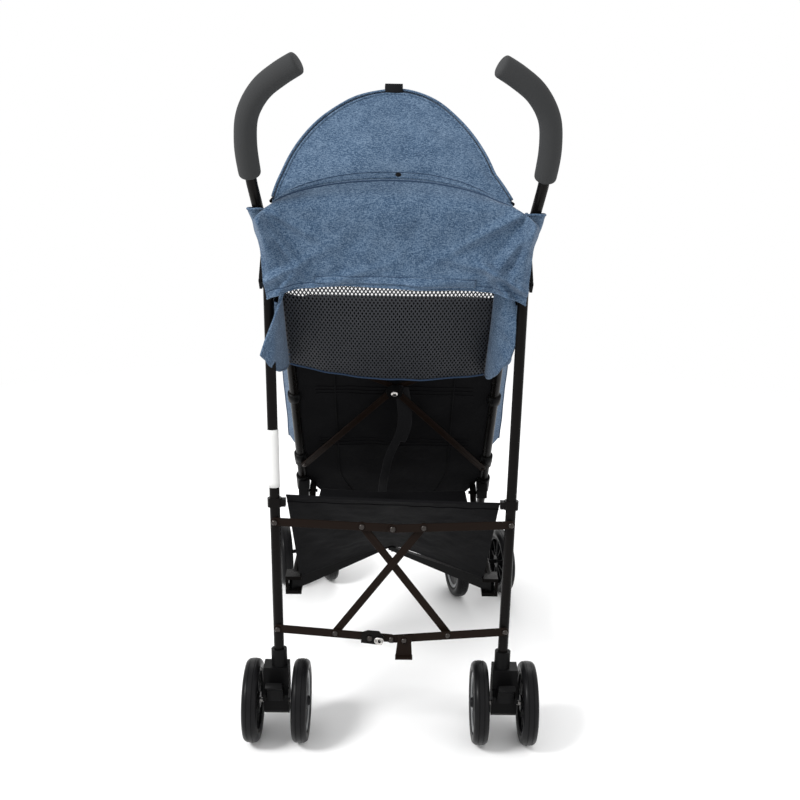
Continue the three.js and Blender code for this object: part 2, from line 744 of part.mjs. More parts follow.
crossBar('upper_bar_right', UPPER_HALF, UPPER_RIVET_RISE, UPPER_SAG, 1, {
  holes: [],
  more: [rivet(strutTop, 0, STRUT_LAYERS.right - 0.8, rightTop), rivet(upperLength, 0, rightTop - 1, rightTop)],
});

// crossed struts between the upper and the lower bars
const strutFrom = at(-STRUT_TOP_REACH * cos(UPPER_SAG), UPPER_RIVET_RISE - strutTop * sin(UPPER_SAG), 0);
const strutTo = at(STRUT_FOOT_REACH * cos(LOWER_SAG), -strutFoot * sin(LOWER_SAG), 0);
const strutLength = strutFrom.distanceTo(strutTo);
const strutAngle = Math.atan2(strutTo.y - strutFrom.y, strutTo.x - strutFrom.x);
for (const [side, sign] of Object.entries(SIDES)) {
  const group = groupAt(linkage, at(-sign * strutFrom.x, strutFrom.y, 0));
  group.rotation.z = sign < 0 ? strutAngle : PI - strutAngle;
  const bar = flatBar(strutLength, BAR_HEIGHT - 1, BAR_THICK, [0]);
  add(group, `cross_strut_${side}`, bar.translate(0, 0, STRUT_LAYERS[side]), 'bar');
}

// plate and tread that unlock the middle of the lower bars
function thinPlate(layer, points) {
  const outline = new THREE.Shape(points.map(([x, y]) => new THREE.Vector2(x, y)));
  outline.holes.push(circle(RIVET_RADIUS + GAP));
  const options = { depth: BAR_THICK, bevelEnabled: false, curveSegments: 5 };
  return new THREE.ExtrudeGeometry(outline, options).translate(0, 0, layer);
}

const lockShape = thinPlate(
  LAYER_LOCK,
  [
    [-13, -9],
    [20, -10],
    [23, 3],
    [14, 12],
    [-4, 12],
    [-13, 8],
  ],
);
const lock = groupAt(lowerLeft, at(lowerLength - LOCK_REACH, 0, 0));
add(lock, 'lock_plate', lockShape, 'painted');

// the right bar's group is turned half round, so down is +Y in it
const pedalPlate = thinPlate(
  LAYER_PEDAL,
  [
    [-11, -8],
    [9, -8],
    [13, 26],
    [-13, 26],
  ],
);
const tread = new THREE.BoxGeometry(27, 3.5, 13).translate(0, 26, LAYER_PEDAL + 6.5);
const pedal = groupAt(lowerRight, at(lowerLength - PEDAL_REACH, 0, 0));
pedal.rotation.z = -LOWER_SAG;
add(pedal, 'fold_pedal', join(pedalPlate, tread), 'bar');

// ---------------------------------------------------------------- side rails and basket bars

function sideRail() {
  const path = new THREE.CatmullRomCurve3([
    at(RAIL_BACK.x, RAIL_BACK.y + 8, RAIL_BACK.z + 10),
    at(165, 58, 208),
    at(RAIL_X, 138, 255),
    at(RAIL_X, RAIL_PIVOT.y, RAIL_PIVOT.z),
    at(RAIL_X, 196, 281),
    at(RAIL_X, 258, 295),
    at(RAIL_X, RAIL_FRONT.y, RAIL_FRONT.z),
  ]);
  const lever = bentTube(path, RAIL_RADIUS, 0, 12, 10);
  const block = new THREE.BoxGeometry(28, 30, 34).translate(RAIL_BACK.x + 1, RAIL_BACK.y + 3, RAIL_BACK.z);
  const slot = new THREE.BoxGeometry(40, 60, BASKET_BAR_END + 1);
  slot.translate(RAIL_BACK.x - 10, RAIL_BACK.y, RAIL_BACK.z);
  const pin = rod(
    at(RAIL_BACK.x, RAIL_BACK.y, RAIL_BACK.z - 15),
    at(RAIL_BACK.x, RAIL_BACK.y, RAIL_BACK.z + 15),
    3,
  );
  const bracketPin = rod(
    at(RAIL_X - 20, RAIL_PIVOT.y, RAIL_PIVOT.z),
    at(RAIL_X + 20, RAIL_PIVOT.y, RAIL_PIVOT.z),
    3 + GAP,
  );
  return join(cut(join(lever, block), slot, bracketPin), pin);
}
addPair('side_rail', sideRail(), 'painted');

// bar from the rail's rear block to the apex of the V, tapered, on edge
function basketBar(layer) {
  const from = at(RAIL_BACK.x, RAIL_BACK.y, 0);
  const to = at(0, BASKET_BAR_APEX_Y, 0);
  const length = from.distanceTo(to);
  const half = BASKET_BAR_END / 2;
  const outline = new THREE.Shape(
    [
      [-8, -half],
      [30, -half],
      [length - 20, layer > 0 ? 0.3 : -9],
      [length + 6, layer > 0 ? 0.3 : -9],
      [length + 6, layer > 0 ? 9 : -0.3],
      [length - 20, layer > 0 ? 9 : -0.3],
      [30, half],
      [-8, half],
    ].map(([x, z]) => new THREE.Vector2(x, z)),
  );
  const bar = new THREE.ExtrudeGeometry(outline, { depth: 9, bevelEnabled: false }).translate(0, 0, -4.5);
  const angle = Math.atan2(to.y - from.y, to.x - from.x);
  bar.rotateX(PI / 2).rotateZ(angle).translate(from.x, from.y, RAIL_BACK.z);
  const room = rod(at(from.x, from.y, RAIL_BACK.z - 30), at(from.x, from.y, RAIL_BACK.z + 30), 3 + GAP);
  const apex = at(0, BASKET_BAR_APEX_Y, RAIL_BACK.z);
  if (layer > 0) {
    const low = apex.clone().add(at(0, 0, -12));
    return cut(join(bar, rod(low, apex.clone().add(at(0, 0, 1)), 2.2, 10)), room);
  }
  const high = apex.clone().add(at(0, 0, 3));
  return cut(bar, room, rod(apex.clone().add(at(0, 0, -20)), high, 2.2 + GAP, 10));
}
add(stroller, 'basket_bar_right', basketBar(-1), 'plastic');
const leftBasketBar = toGeometry(basketBar(1));
leftBasketBar.scale(-1, 1, 1);
add(stroller, 'basket_bar_left', leftBasketBar, 'plastic');

// ---------------------------------------------------------------- brace behind the back

// local axes: X across, Y up the main tubes, Z backwards from their centre lines
const hubZ = BRACE_CLIP_Z + BRACE_LOWER_RISE * sin(MAIN_ANGLE);
const brace = groupAt(stroller, mainPoint(hubZ, 0), at(1, 0, 0), mainUp);
const BRACE_THICK = 2.2;
const braceLayer = (order) => TUBE_RADIUS + 0.8 + order * (BRACE_THICK + GAP);
const hubLayer = braceLayer(4);

function braceArm(name, x, rise, height, order, outerHole) {
  const length = Math.hypot(x, rise);
  const group = groupAt(brace, at(x, rise, 0));
  group.rotation.z = Math.atan2(-rise, -x);
  const holes = outerHole ? [0, length] : [length];
  add(group, name, flatBar(length, height, BRACE_THICK, holes).translate(0, 0, braceLayer(order)), 'bar');
}
braceArm('brace_arm_upper_left', -BRACE_X, BRACE_UPPER_RISE, 11, 0, false);
braceArm('brace_arm_upper_right', BRACE_X, BRACE_UPPER_RISE, 11, 1, false);
braceArm('brace_arm_lower_left', -BRACE_X, -BRACE_LOWER_RISE, 13, 2, true);
braceArm('brace_arm_lower_right', BRACE_X, -BRACE_LOWER_RISE, 13, 3, true);

const hubBlock = new THREE.CylinderGeometry(13, 15, 7, 16).rotateX(PI / 2).translate(0, 0, hubLayer + 3.5);
const hubPin = rod(at(0, 0, braceLayer(0)), at(0, 0, hubLayer + 1), RIVET_RADIUS, 8);
add(brace, 'brace_hub', join(hubBlock, hubPin), 'plastic');

// ---------------------------------------------------------------- seat

// a soft slab: an outline in the YZ plane with its rim rounded off
function pad(points, half, round) {
  const outline = new THREE.Shape(points.map(([y, z]) => new THREE.Vector2(y, z)));
  const slab = new THREE.ExtrudeGeometry(outline, {
    depth: 2 * (half - round),
    bevelThickness: round,
    bevelSize: round,
    bevelOffset: -round,
    bevelSegments: 2,
  });
  const basis = new THREE.Matrix4().makeBasis(at(0, 1, 0), at(0, 0, 1), at(1, 0, 0));
  return slab.applyMatrix4(basis).translate(round - half, 0, 0);
}

// four corners of a slab that starts at a point, runs along a direction and is thick across it
function slabCorners(start, direction, length, thick) {
  const across = [-direction[1], direction[0]];
  const corner = (a, b) => [
    start[0] + direction[0] * a + across[0] * b,
    start[1] + direction[1] * a + across[1] * b,
  ];
  return [corner(0, 0), corner(length, 0), corner(length, thick), corner(0, thick)];
}

const seatDirection = [cos(SEAT_TILT), sin(SEAT_TILT)];
add(stroller, 'seat_base', pad(slabCorners([190, 279], seatDirection, 188, 28), SEAT_HALF, 7), 'blackFabric');

const backStart = mainPoint(SEAT_BACK_Z, 0).add(along(mainBack, -SEAT_BACK_SETBACK));
const backDirection = [mainUp.y, mainUp.z];
const backLength = (SEAT_BACK_TOP - SEAT_BACK_Z) / mainUp.z;
add(
  stroller,
  'seat_back',
  pad(slabCorners([backStart.y, backStart.z], backDirection, backLength, -22), SEAT_BACK_HALF, 6),
  'blackFabric',
);

// mesh that spans between the main tubes behind the brace
const meshSurface = (u, v) => {
  const t = 2 * u - 1;
  const z = THREE.MathUtils.lerp(MESH_BOTTOM_Z + 16 * t * t, MESH_TOP_Z, v);
  const bulge = 24 + 14 * (1 - t * t);
  return mainPoint(z, t * (MAIN_X - 1)).add(along(mainBack, bulge));
};
add(stroller, 'mesh_panel', cloth(meshSurface, 10, 5, CLOTH), 'mesh');

// ---------------------------------------------------------------- canopy

// point on an arch over the hinge line: u runs from side to side
function archPoint(u, half, forward, up) {
  const turn = 0.95 * PI * (u - 0.5);
  const x = half * Math.sign(sin(turn)) * Math.abs(sin(turn)) ** ARCH_POWER;
  const height = Math.max(cos(turn), 0) ** ARCH_POWER;
  return at(x, CANOPY_HINGE.y + forward * height, CANOPY_HINGE.z + up * height);
}

// rows of the rear canopy from its lower hem to the rib it ends on
const rearRows = [
  (u) => at(190 * (2 * u - 1), -200, 716 - 8 * (2 * u - 1)),
  (u) => at(197 * (2 * u - 1), -216, 780),
  (u) => at(204 * (2 * u - 1), -232, 838),
  (u) => archPoint(u, 172, 6, 14).add(at(0, -14 * (2 * u - 1) ** 2 + 4, 0)),
  (u) => archPoint(u, 171, 26, 49),
  (u) => archPoint(u, 170, 60, 82),
  (u) => archPoint(u, 169, 98, 118),
  (u) => archPoint(u, 169, 128, 151),
];
const rearSurface = (u, v) => {
  const row = v * (rearRows.length - 1);
  return rearRows[Math.round(row)](u);
};
add(stroller, 'canopy_rear', cloth(rearSurface, 14, rearRows.length - 1, -CLOTH), 'blueFabric');

const canopy = groupAt(stroller, at(0, 0, 0));
const frontSurface = (u, v) => {
  const angle = THREE.MathUtils.lerp(CANOPY_FRONT.from, CANOPY_FRONT.to, v);
  return archPoint(u, CANOPY_FRONT.half, CANOPY_FRONT.reach * cos(angle), CANOPY_FRONT.reach * sin(angle));
};
add(canopy, 'canopy_front', cloth(frontSurface, 14, 4, CLOTH), 'blueFabric');

// the bow runs just in front of the cloth's front hem
const hemTurn = [cos(CANOPY_FRONT.to), sin(CANOPY_FRONT.to)];
const bowPoints = Array.from({ length: 21 }, (_, i) => {
  const [forward, up] = hemTurn.map((share) => share * (CANOPY_FRONT.reach - 1));
  return archPoint(i / 20, CANOPY_FRONT.half - 1, forward, up).add(at(0, 4 * hemTurn[1], -4 * hemTurn[0]));
});
add(canopy, 'canopy_bow', bentTube(new THREE.CatmullRomCurve3(bowPoints), 3.2, 0, 20, 6), 'painted');

// ---------------------------------------------------------------- basket

// a sling from the strap between the legs down to the basket bars, then up to the seat's crook
const strapPoint = (t) => at(165.5 * t, legY(396) - 2, 396 - 16 * (1 - t * t));
const barPoint = (t) => {
  const y = THREE.MathUtils.lerp(BASKET_BAR_APEX_Y - 12, RAIL_BACK.y + 2, Math.abs(t));
  return at(163 * t, y, RAIL_BACK.z + BASKET_BAR_END / 2 + 3 + 8 * t * t);
};
const frontPoint = (t) => at(136 * t, RAIL_PIVOT.y - 22, RAIL_PIVOT.z + 14);
const basketSurface = (u, v) => {
  const t = 2 * u - 1;
  const share = v < BASKET_TURN ? v / BASKET_TURN : (v - BASKET_TURN) / (1 - BASKET_TURN);
  const [from, to] = v < BASKET_TURN ? [strapPoint(t), barPoint(t)] : [barPoint(t), frontPoint(t)];
  return from.lerp(to, share);
};
add(stroller, 'basket', cloth(basketSurface, 12, 5, CLOTH), 'blackFabric');

export default stroller;
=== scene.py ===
import json
import math

import bpy
import numpy as np
from mathutils import Matrix, Vector, noise


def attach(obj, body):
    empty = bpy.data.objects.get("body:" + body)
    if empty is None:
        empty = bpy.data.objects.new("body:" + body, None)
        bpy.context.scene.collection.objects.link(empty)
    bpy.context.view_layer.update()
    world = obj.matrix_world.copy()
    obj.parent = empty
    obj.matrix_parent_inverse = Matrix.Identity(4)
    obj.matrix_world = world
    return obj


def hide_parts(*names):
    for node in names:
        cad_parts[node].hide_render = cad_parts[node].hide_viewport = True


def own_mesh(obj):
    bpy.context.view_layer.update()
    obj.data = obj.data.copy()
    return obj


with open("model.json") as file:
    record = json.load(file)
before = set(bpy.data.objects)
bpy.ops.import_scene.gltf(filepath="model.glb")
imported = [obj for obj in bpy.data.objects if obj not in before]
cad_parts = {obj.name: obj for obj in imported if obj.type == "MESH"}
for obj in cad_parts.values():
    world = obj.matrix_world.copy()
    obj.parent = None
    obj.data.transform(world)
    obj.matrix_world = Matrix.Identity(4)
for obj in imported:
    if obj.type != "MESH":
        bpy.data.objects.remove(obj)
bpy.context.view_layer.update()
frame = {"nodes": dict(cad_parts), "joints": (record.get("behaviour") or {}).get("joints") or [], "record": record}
JOINTS = {j["name"]: j for j in frame["joints"]}

# The numbers below are millimetres in the frame of the part's source, before its group is moved by SHIFT_Y.
SHIFT_Y = -40.8
MAIN_ANGLE = math.radians(55)
LEG_ANGLE = math.radians(6.5)
MAIN_X = 173


def V(x, y, z):
    return Vector((x / 1000, (y + SHIFT_Y) / 1000, z / 1000))


def main_y(z):
    return -246 + (897 - z) / math.tan(MAIN_ANGLE)


def leg_y(z):
    return -164 - (735 - z) * math.tan(LEG_ANGLE)


def leg_x(z):
    return 176.8 + (z - 122) / 613 * 14.2


MAIN_BACK = np.array([0, -math.sin(MAIN_ANGLE), -math.cos(MAIN_ANGLE)])
MAIN_UP = np.array([0, -math.cos(MAIN_ANGLE), math.sin(MAIN_ANGLE)])


def on_main(x, z, back=0.0):
    return np.array([x, main_y(z), z]) + MAIN_BACK * back


# ------------------------------------------------------------------ materials


def material(name, color, rough=0.5, metal=0.0, **sockets):
    mat = bpy.data.materials.new(name)
    mat.use_nodes = True
    shader = mat.node_tree.nodes["Principled BSDF"]
    shader.inputs["Base Color"].default_value = (*color, 1)
    shader.inputs["Roughness"].default_value = rough
    shader.inputs["Metallic"].default_value = metal
    for key, value in sockets.items():
        shader.inputs[key.replace("_", " ")].default_value = value
    return mat


def add_node(mat, kind, **values):
    node = mat.node_tree.nodes.new(kind)
    for key, value in values.items():
        if key in node.inputs:
            node.inputs[key].default_value = value
        else:
            setattr(node, key, value)
    return node


def link(mat, a, out, b, into):
    mat.node_tree.links.new(a.outputs[out], b.inputs[into])


def coords(mat, scale, turn=(0, 0, 0)):
    source = add_node(mat, "ShaderNodeTexCoord")
    mapping = add_node(mat, "ShaderNodeMapping")
    mapping.inputs["Scale"].default_value = scale
    mapping.inputs["Rotation"].default_value = turn
    link(mat, source, "Object", mapping, "Vector")
    return mapping


def noise_node(mat, scale, size, detail=3.0, rough=0.6):
    tex = add_node(mat, "ShaderNodeTexNoise")
    tex.inputs["Scale"].default_value = size
    tex.inputs["Detail"].default_value = detail
    tex.inputs["Roughness"].default_value = rough
    link(mat, coords(mat, scale), "Vector", tex, "Vector")
    return tex


def bump_from(mat, tex, strength, distance, out="Fac", before=None):
    bump = add_node(mat, "ShaderNodeBump")
    bump.inputs["Strength"].default_value = strength
    bump.inputs["Distance"].default_value = distance
    link(mat, tex, out, bump, "Height")
    if before is not None:
        link(mat, before, "Normal", bump, "Normal")
    link(mat, bump, "Normal", mat.node_tree.nodes["Principled BSDF"], "Normal")
    return bump


def ramp_from(mat, tex, stops, target="Base Color", out="Fac"):
    ramp = add_node(mat, "ShaderNodeValToRGB")
    while len(ramp.color_ramp.elements) < len(stops):
        ramp.color_ramp.elements.new(0.5)
    for element, (place, color) in zip(ramp.color_ramp.elements, stops):
        element.position = place
        element.color = (*color, 1)
    link(mat, tex, out, ramp, "Fac")
    link(mat, ramp, "Color", mat.node_tree.nodes["Principled BSDF"], target)
    return ramp


def worn(mat, low, high, size=60):
    tex = noise_node(mat, (1, 1, 1), size, 4)
    ramp_from(mat, tex, [(0.3, (low,) * 3), (0.75, (high,) * 3)], "Roughness")
    return mat


def fabric_blue():
    sheen = {"Sheen_Weight": 0.1, "Sheen_Roughness": 0.5}
    mat = material("blue heather", (0.1, 0.17, 0.28), 0.95, Specular_IOR_Level=0.15, **sheen)
    threads = noise_node(mat, (0.45, 0.45, 1.7), 620, 2, 0.7)
    cross = noise_node(mat, (1.7, 1.0, 0.5), 620, 2, 0.7)
    blotch = noise_node(mat, (1, 1, 1), 38, 4, 0.6)
    mix = add_node(mat, "ShaderNodeMath", operation="MULTIPLY_ADD")
    mix.inputs[1].default_value = 0.55
    link(mat, threads, "Fac", mix, 0)
    half = add_node(mat, "ShaderNodeMath", operation="MULTIPLY")
    half.inputs[1].default_value = 0.45
    link(mat, cross, "Fac", half, 0)
    mat.node_tree.links.new(half.outputs[0], mix.inputs[2])
    tint = add_node(mat, "ShaderNodeMath", operation="MULTIPLY_ADD")
    tint.inputs[1].default_value = 0.17
    link(mat, blotch, "Fac", tint, 0)
    mat.node_tree.links.new(mix.outputs[0], tint.inputs[2])
    stops = [(0.42, (0.011, 0.026, 0.056)), (0.56, (0.04, 0.075, 0.13)), (0.68, (0.12, 0.175, 0.25))]
    ramp_from(mat, tint, stops, out=0)
    bump_from(mat, mix, 0.35, 0.0006, out=0)
    return mat


def fabric_black(name="black cloth", color=(0.005, 0.005, 0.0056), rough=0.9):
    mat = material(name, color, rough, Sheen_Weight=0.015, Sheen_Roughness=0.4, Specular_IOR_Level=0.05)
    first = bump_from(mat, noise_node(mat, (1, 1, 1), 1500, 2), 0.25, 0.0004)
    bump_from(mat, noise_node(mat, (1, 1, 1), 30, 3), 0.35, 0.004, before=first)
    return mat


def fabric_mesh():
    mat = material("mesh cloth", (0.022, 0.0245, 0.03), 0.6, Specular_IOR_Level=0.35)
    waves = []
    for turn in (math.radians(32), math.radians(-32)):
        wave = add_node(mat, "ShaderNodeTexWave", wave_type="BANDS", bands_direction="X")
        wave.inputs["Scale"].default_value = 62
        wave.inputs["Distortion"].default_value = 0.0
        link(mat, coords(mat, (1, 1, 1), (0, turn, 0)), "Vector", wave, "Vector")
        waves.append(wave)
    most = add_node(mat, "ShaderNodeMath", operation="MAXIMUM")
    link(mat, waves[0], "Fac", most, 0)
    link(mat, waves[1], "Fac", most, 1)
    thread = add_node(mat, "ShaderNodeMath", operation="GREATER_THAN")
    thread.inputs[1].default_value = 0.62
    link(mat, most, 0, thread, 0)
    link(mat, thread, 0, mat.node_tree.nodes["Principled BSDF"], "Alpha")
    bump_from(mat, most, 0.8, 0.0012, out=0)
    return mat


def foam():
    mat = material("foam", (0.03, 0.031, 0.032), 0.9, Sheen_Weight=0.03, Specular_IOR_Level=0.2)
    cells = add_node(mat, "ShaderNodeTexVoronoi")
    cells.inputs["Scale"].default_value = 900
    link(mat, coords(mat, (1, 1, 1)), "Vector", cells, "Vector")
    bump_from(mat, cells, 0.25, 0.0005, out="Distance")
    return mat


BLACK = worn(material("black enamel", (0.0035, 0.003, 0.0028), 0.3, 0.0, Specular_IOR_Level=0.07), 0.24, 0.38)
BROWN = worn(material("dark steel", (0.0085, 0.0052, 0.0038), 0.4, 0.0, Specular_IOR_Level=0.05), 0.34, 0.5)
RIVET = worn(material("dull rivet", (0.045, 0.04, 0.037), 0.25, 0.9), 0.2, 0.4)
STEEL = worn(material("bright steel", (0.62, 0.6, 0.58), 0.28, 1.0), 0.22, 0.42)
PLASTIC = material("black plastic", (0.004, 0.004, 0.0042), 0.38, Specular_IOR_Level=0.06)
bump_from(PLASTIC, noise_node(PLASTIC, (1, 1, 1), 1800, 2), 0.12, 0.0003)
TYRE = worn(material("tyre", (0.0055, 0.0055, 0.006), 0.3, 0.0, Specular_IOR_Level=0.1), 0.28, 0.45)
HUB = worn(material("hub", (0.009, 0.0092, 0.01), 0.42, 0.0, Specular_IOR_Level=0.08), 0.36, 0.52)
RING = material("hub ring", (0.1, 0.105, 0.11), 0.35)
WHITE = material("label", (0.6, 0.6, 0.59), 0.55)
FOAM = foam()
BLUE = fabric_blue()
# dark blue for the piping and stitches, and also the colour of the painted shadow line under the padded roll
PIPING_AND_SHADOW = fabric_black("blue piping and painted shadow", (0.03, 0.05, 0.09))
CLOTH = fabric_black()
WEB = fabric_black("webbing", (0.009, 0.009, 0.01), 0.75)
MESH = fabric_mesh()

# ------------------------------------------------------------------ geometry helpers


def obj_from(name, verts, faces, mat, smooth=True):
    mesh = bpy.data.meshes.new(name)
    mesh.from_pydata([tuple(v) for v in verts], [], faces)
    mesh.validate()
    mesh.update()
    mesh.polygons.foreach_set("use_smooth", [smooth] * len(mesh.polygons))
    obj = bpy.data.objects.new(name, mesh)
    bpy.context.scene.collection.objects.link(obj)
    mesh.materials.append(mat)
    return obj


def applied(obj):
    """The object with its modifiers made real."""
    bpy.context.view_layer.update()
    graph = bpy.context.evaluated_depsgraph_get()
    mesh = bpy.data.meshes.new_from_object(obj.evaluated_get(graph), depsgraph=graph)
    obj.modifiers.clear()
    obj.data = mesh
    return obj


def sweep(name, points, radius, mat, sides=24, flat=1.0, up=(0, 0, 1)):
    """A tube along points in millimetres; radius may change along it, and flat squeezes it into a strap."""
    pts = [V(*p) for p in points]
    radii = radius if hasattr(radius, "__len__") else [radius] * len(pts)
    verts, faces = [], []
    side = None
    for i, p in enumerate(pts):
        tangent = (pts[min(i + 1, len(pts) - 1)] - pts[max(i - 1, 0)]).normalized()
        if side is None:
            side = tangent.cross(Vector(up))
            side = side if side.length > 1e-4 else tangent.cross(Vector((1, 0, 0)))
        side = (side - tangent * side.dot(tangent)).normalized()
        other = tangent.cross(side)
        for k in range(sides):
            a = 2 * math.pi * k / sides
            offset = side * math.cos(a) + other * (math.sin(a) * flat)
            verts.append(p + offset * (radii[i] / 1000))
    for i in range(len(pts) - 1):
        for k in range(sides):
            a, b = i * sides + k, i * sides + (k + 1) % sides
            faces.append((a, b, b + sides, a + sides))
    faces.append(tuple(reversed(range(sides))))
    faces.append(tuple(range((len(pts) - 1) * sides, len(pts) * sides)))
    return obj_from(name, verts, faces, mat)


def lathe(name, profile, centre, direction, mat, segments=64):
    """A closed profile of (radius, along) millimetres turned about an axis through centre (metres)."""
    axis = Vector(direction).normalized()
    side = axis.orthogonal().normalized()
    other = axis.cross(side)
    verts, faces = [], []
    count = len(profile)
    for k in range(segments):
        a = 2 * math.pi * k / segments
        out = side * math.cos(a) + other * math.sin(a)
        verts += [Vector(centre) + out * (r / 1000) + axis * (h / 1000) for r, h in profile]
    for k in range(segments):
        n = (k + 1) % segments
        for i in range(count):
            j = (i + 1) % count
            quad = (k * count + i, k * count + j, n * count + j, n * count + i)
            faces.append(quad)
    obj = obj_from(name, verts, faces, mat)
    weld = obj.modifiers.new("weld", "WELD")
    weld.merge_threshold = 0.00001
    split = obj.modifiers.new("split", "EDGE_SPLIT")
    split.split_angle = math.radians(38)
    return applied(obj)


def block(name, low, high, mat, bevel=1.0):
    (x0, y0, z0), (x1, y1, z1) = low, high
    corners = [V(x, y, z) for x in (x0, x1) for y in (y0, y1) for z in (z0, z1)]
    faces = [(0, 1, 3, 2), (4, 6, 7, 5), (0, 4, 5, 1), (2, 3, 7, 6), (0, 2, 6, 4), (1, 5, 7, 3)]
    obj = obj_from(name, corners, faces, mat, False)
    cut = obj.modifiers.new("bevel", "BEVEL")
    cut.width = bevel / 1000
    cut.segments = 3
    return applied(obj)


def catmull(points, steps):
    """Centripetal Catmull-Rom through the points, as the tubes are bent in the part."""
    pts = [np.array(p, float) for p in points]
    out = []
    for i in range(len(pts) - 1):
        p0 = pts[i - 1] if i else 2 * pts[0] - pts[1]
        p1, p2 = pts[i], pts[i + 1]
        p3 = pts[i + 2] if i + 2 < len(pts) else 2 * pts[-1] - pts[-2]
        d = [max(np.linalg.norm(b - a), 1e-4) ** 0.5 for a, b in ((p0, p1), (p1, p2), (p2, p3))]
        t1 = (p1 - p0) / d[0] - (p2 - p0) / (d[0] + d[1]) + (p2 - p1) / d[1]
        t2 = (p2 - p1) / d[1] - (p3 - p1) / (d[1] + d[2]) + (p3 - p2) / d[2]
        m1, m2 = t1 * d[1], t2 * d[1]
        for k in range(steps):
            t = k / steps
            a = 2 * p1 - 2 * p2 + m1 + m2
            b = -3 * p1 + 3 * p2 - 2 * m1 - m2
            out.append(a * t**3 + b * t**2 + m1 * t + p1)
    out.append(pts[-1])
    return out


def grid(name, fn, nu, nv, mat, thick=1.2, smooth_rounds=0, offset=0.0):
    """A sheet of cloth: fn(u, v) gives millimetres for u, v from 0 to 1."""
    verts = [V(*fn(i / nu, j / nv)) for j in range(nv + 1) for i in range(nu + 1)]
    faces = [
        (j * (nu + 1) + i, j * (nu + 1) + i + 1, (j + 1) * (nu + 1) + i + 1, (j + 1) * (nu + 1) + i)
        for j in range(nv)
        for i in range(nu)
    ]
    obj = obj_from(name, verts, faces, mat)
    shell = obj.modifiers.new("thickness", "SOLIDIFY")
    shell.thickness = thick / 1000
    shell.offset = offset
    if smooth_rounds:
        subdivide = obj.modifiers.new("smooth", "SUBSURF")
        subdivide.levels = subdivide.render_levels = smooth_rounds
    return applied(obj)


def fold_noise(x, y, z, size, seed):
    return noise.noise(Vector((x / size + seed * 7.3, y / size - seed * 3.1, z / size + seed * 1.7)))


def soft_ride(obj, body, squash=True):
    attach(obj, body)
    if squash:
        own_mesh(obj)
    return obj


def dome(name, centre, direction, radius, body, mat=None, height=2.2):
    profile = [(0, -0.6), (radius, -0.6), (radius, 0.3)]
    profile += [(radius * 0.82, height * 0.62), (radius * 0.45, height * 0.94), (0, height)]
    head = lathe(name, profile, centre, direction, mat or RIVET, 20)
    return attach(head, body)


# ------------------------------------------------------------------ CAD nodes that are shown as they are

CAD_LOOK = {"painted": BLACK, "bar_steel": BROWN, "steel": STEEL, "plastic": PLASTIC, "foam": FOAM}
SLOTS = {s["node"]: s["material_slot"] for s in frame["record"]["subparts"]}
THIN_BARS = ("lower_bar", "upper_bar", "cross_strut", "brace_arm", "brake_pedal", "fold_pedal", "lock")
for node_name, node in frame["nodes"].items():
    look = CAD_LOOK.get(SLOTS[node_name], CLOTH)
    node.data.materials.clear()
    node.data.materials.append(look)
    node.data.polygons.foreach_set("use_smooth", [True] * len(node.data.polygons))
    if "custom_normal" in node.data.attributes:
        node.data.attributes.remove(node.data.attributes["custom_normal"])
    weld = node.modifiers.new("weld", "WELD")
    weld.merge_threshold = 0.00002
    if node_name.startswith(THIN_BARS):
        bevel = node.modifiers.new("bevel", "BEVEL")
        bevel.width = 0.0005
        bevel.segments = 2
        bevel.limit_method = "ANGLE"
        bevel.angle_limit = math.radians(50)
    split = node.modifiers.new("split", "EDGE_SPLIT")
    split.split_angle = math.radians(34)

# ------------------------------------------------------------------ grips

HANDLE = [(MAIN_X, main_y(600), 600), (177, main_y(680), 680), (203, -246, 897), (205, -270, 945)]
HANDLE += [(199, -286, 980), (179, -302, 1011), (153, -312, 1031), (129, -319, 1045)]
GRIP_START_Z = 896.5
for side, sign in (("left", -1), ("right", 1)):
    path = catmull([(sign * x, y, z) for x, y, z in HANDLE], 12)
    path = [p for p in path if p[2] >= GRIP_START_Z]
    lengths = np.concatenate([[0], np.cumsum([np.linalg.norm(b - a) for a, b in zip(path, path[1:])])])
    total = lengths[-1]
    ends = np.array([0, 0.5, 1.5, 3, 5])
    stations = np.concatenate([ends, np.linspace(9, total - 9, 44), total - ends[::-1]])
    fine = np.array([[np.interp(s, lengths, [p[k] for p in path]) for k in range(3)] for s in stations])
    rim = [10.5, 13.2, 14.6, 15.3, 15.5]
    swell = [15.5 + 0.25 * math.sin(3 * s / total * math.pi) for s in stations[5:-5]]
    grip = sweep(f"foam_{side}", fine, rim + swell + rim[::-1], FOAM, 40)
    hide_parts(f"grip_{side}")
    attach(grip, f"frame_{side}")

# ------------------------------------------------------------------ wheels

TYRE_PROFILE = [(51, -10.5), (54, -11.8), (58, -12.4), (61.5, -11.6), (64, -9.4)]
TYRE_PROFILE += [(65.4, -6.6), (65.5, -4.6), (65.0, -4.2), (65.0, -3.6), (65.9, -3.2)]
TYRE_PROFILE += [(66, 0)] + [(r, -a) for r, a in reversed(TYRE_PROFILE)]
HUB_PROFILE = [(0, 15.6), (5, 15.4), (7, 14.2), (7.6, 12), (9, 10.4), (14, 9.6), (15, 7.6)]
HUB_PROFILE += [(38, 6.6), (40.5, 7.6), (48, 9.4), (50.6, 9.2), (50.9, 7.5), (50.9, -9)]
HUB_PROFILE += [(49.5, -10), (46.5, -10), (45.5, 2.5), (14, 3.2), (13, -11), (0, -11)]
SPOKES = 10


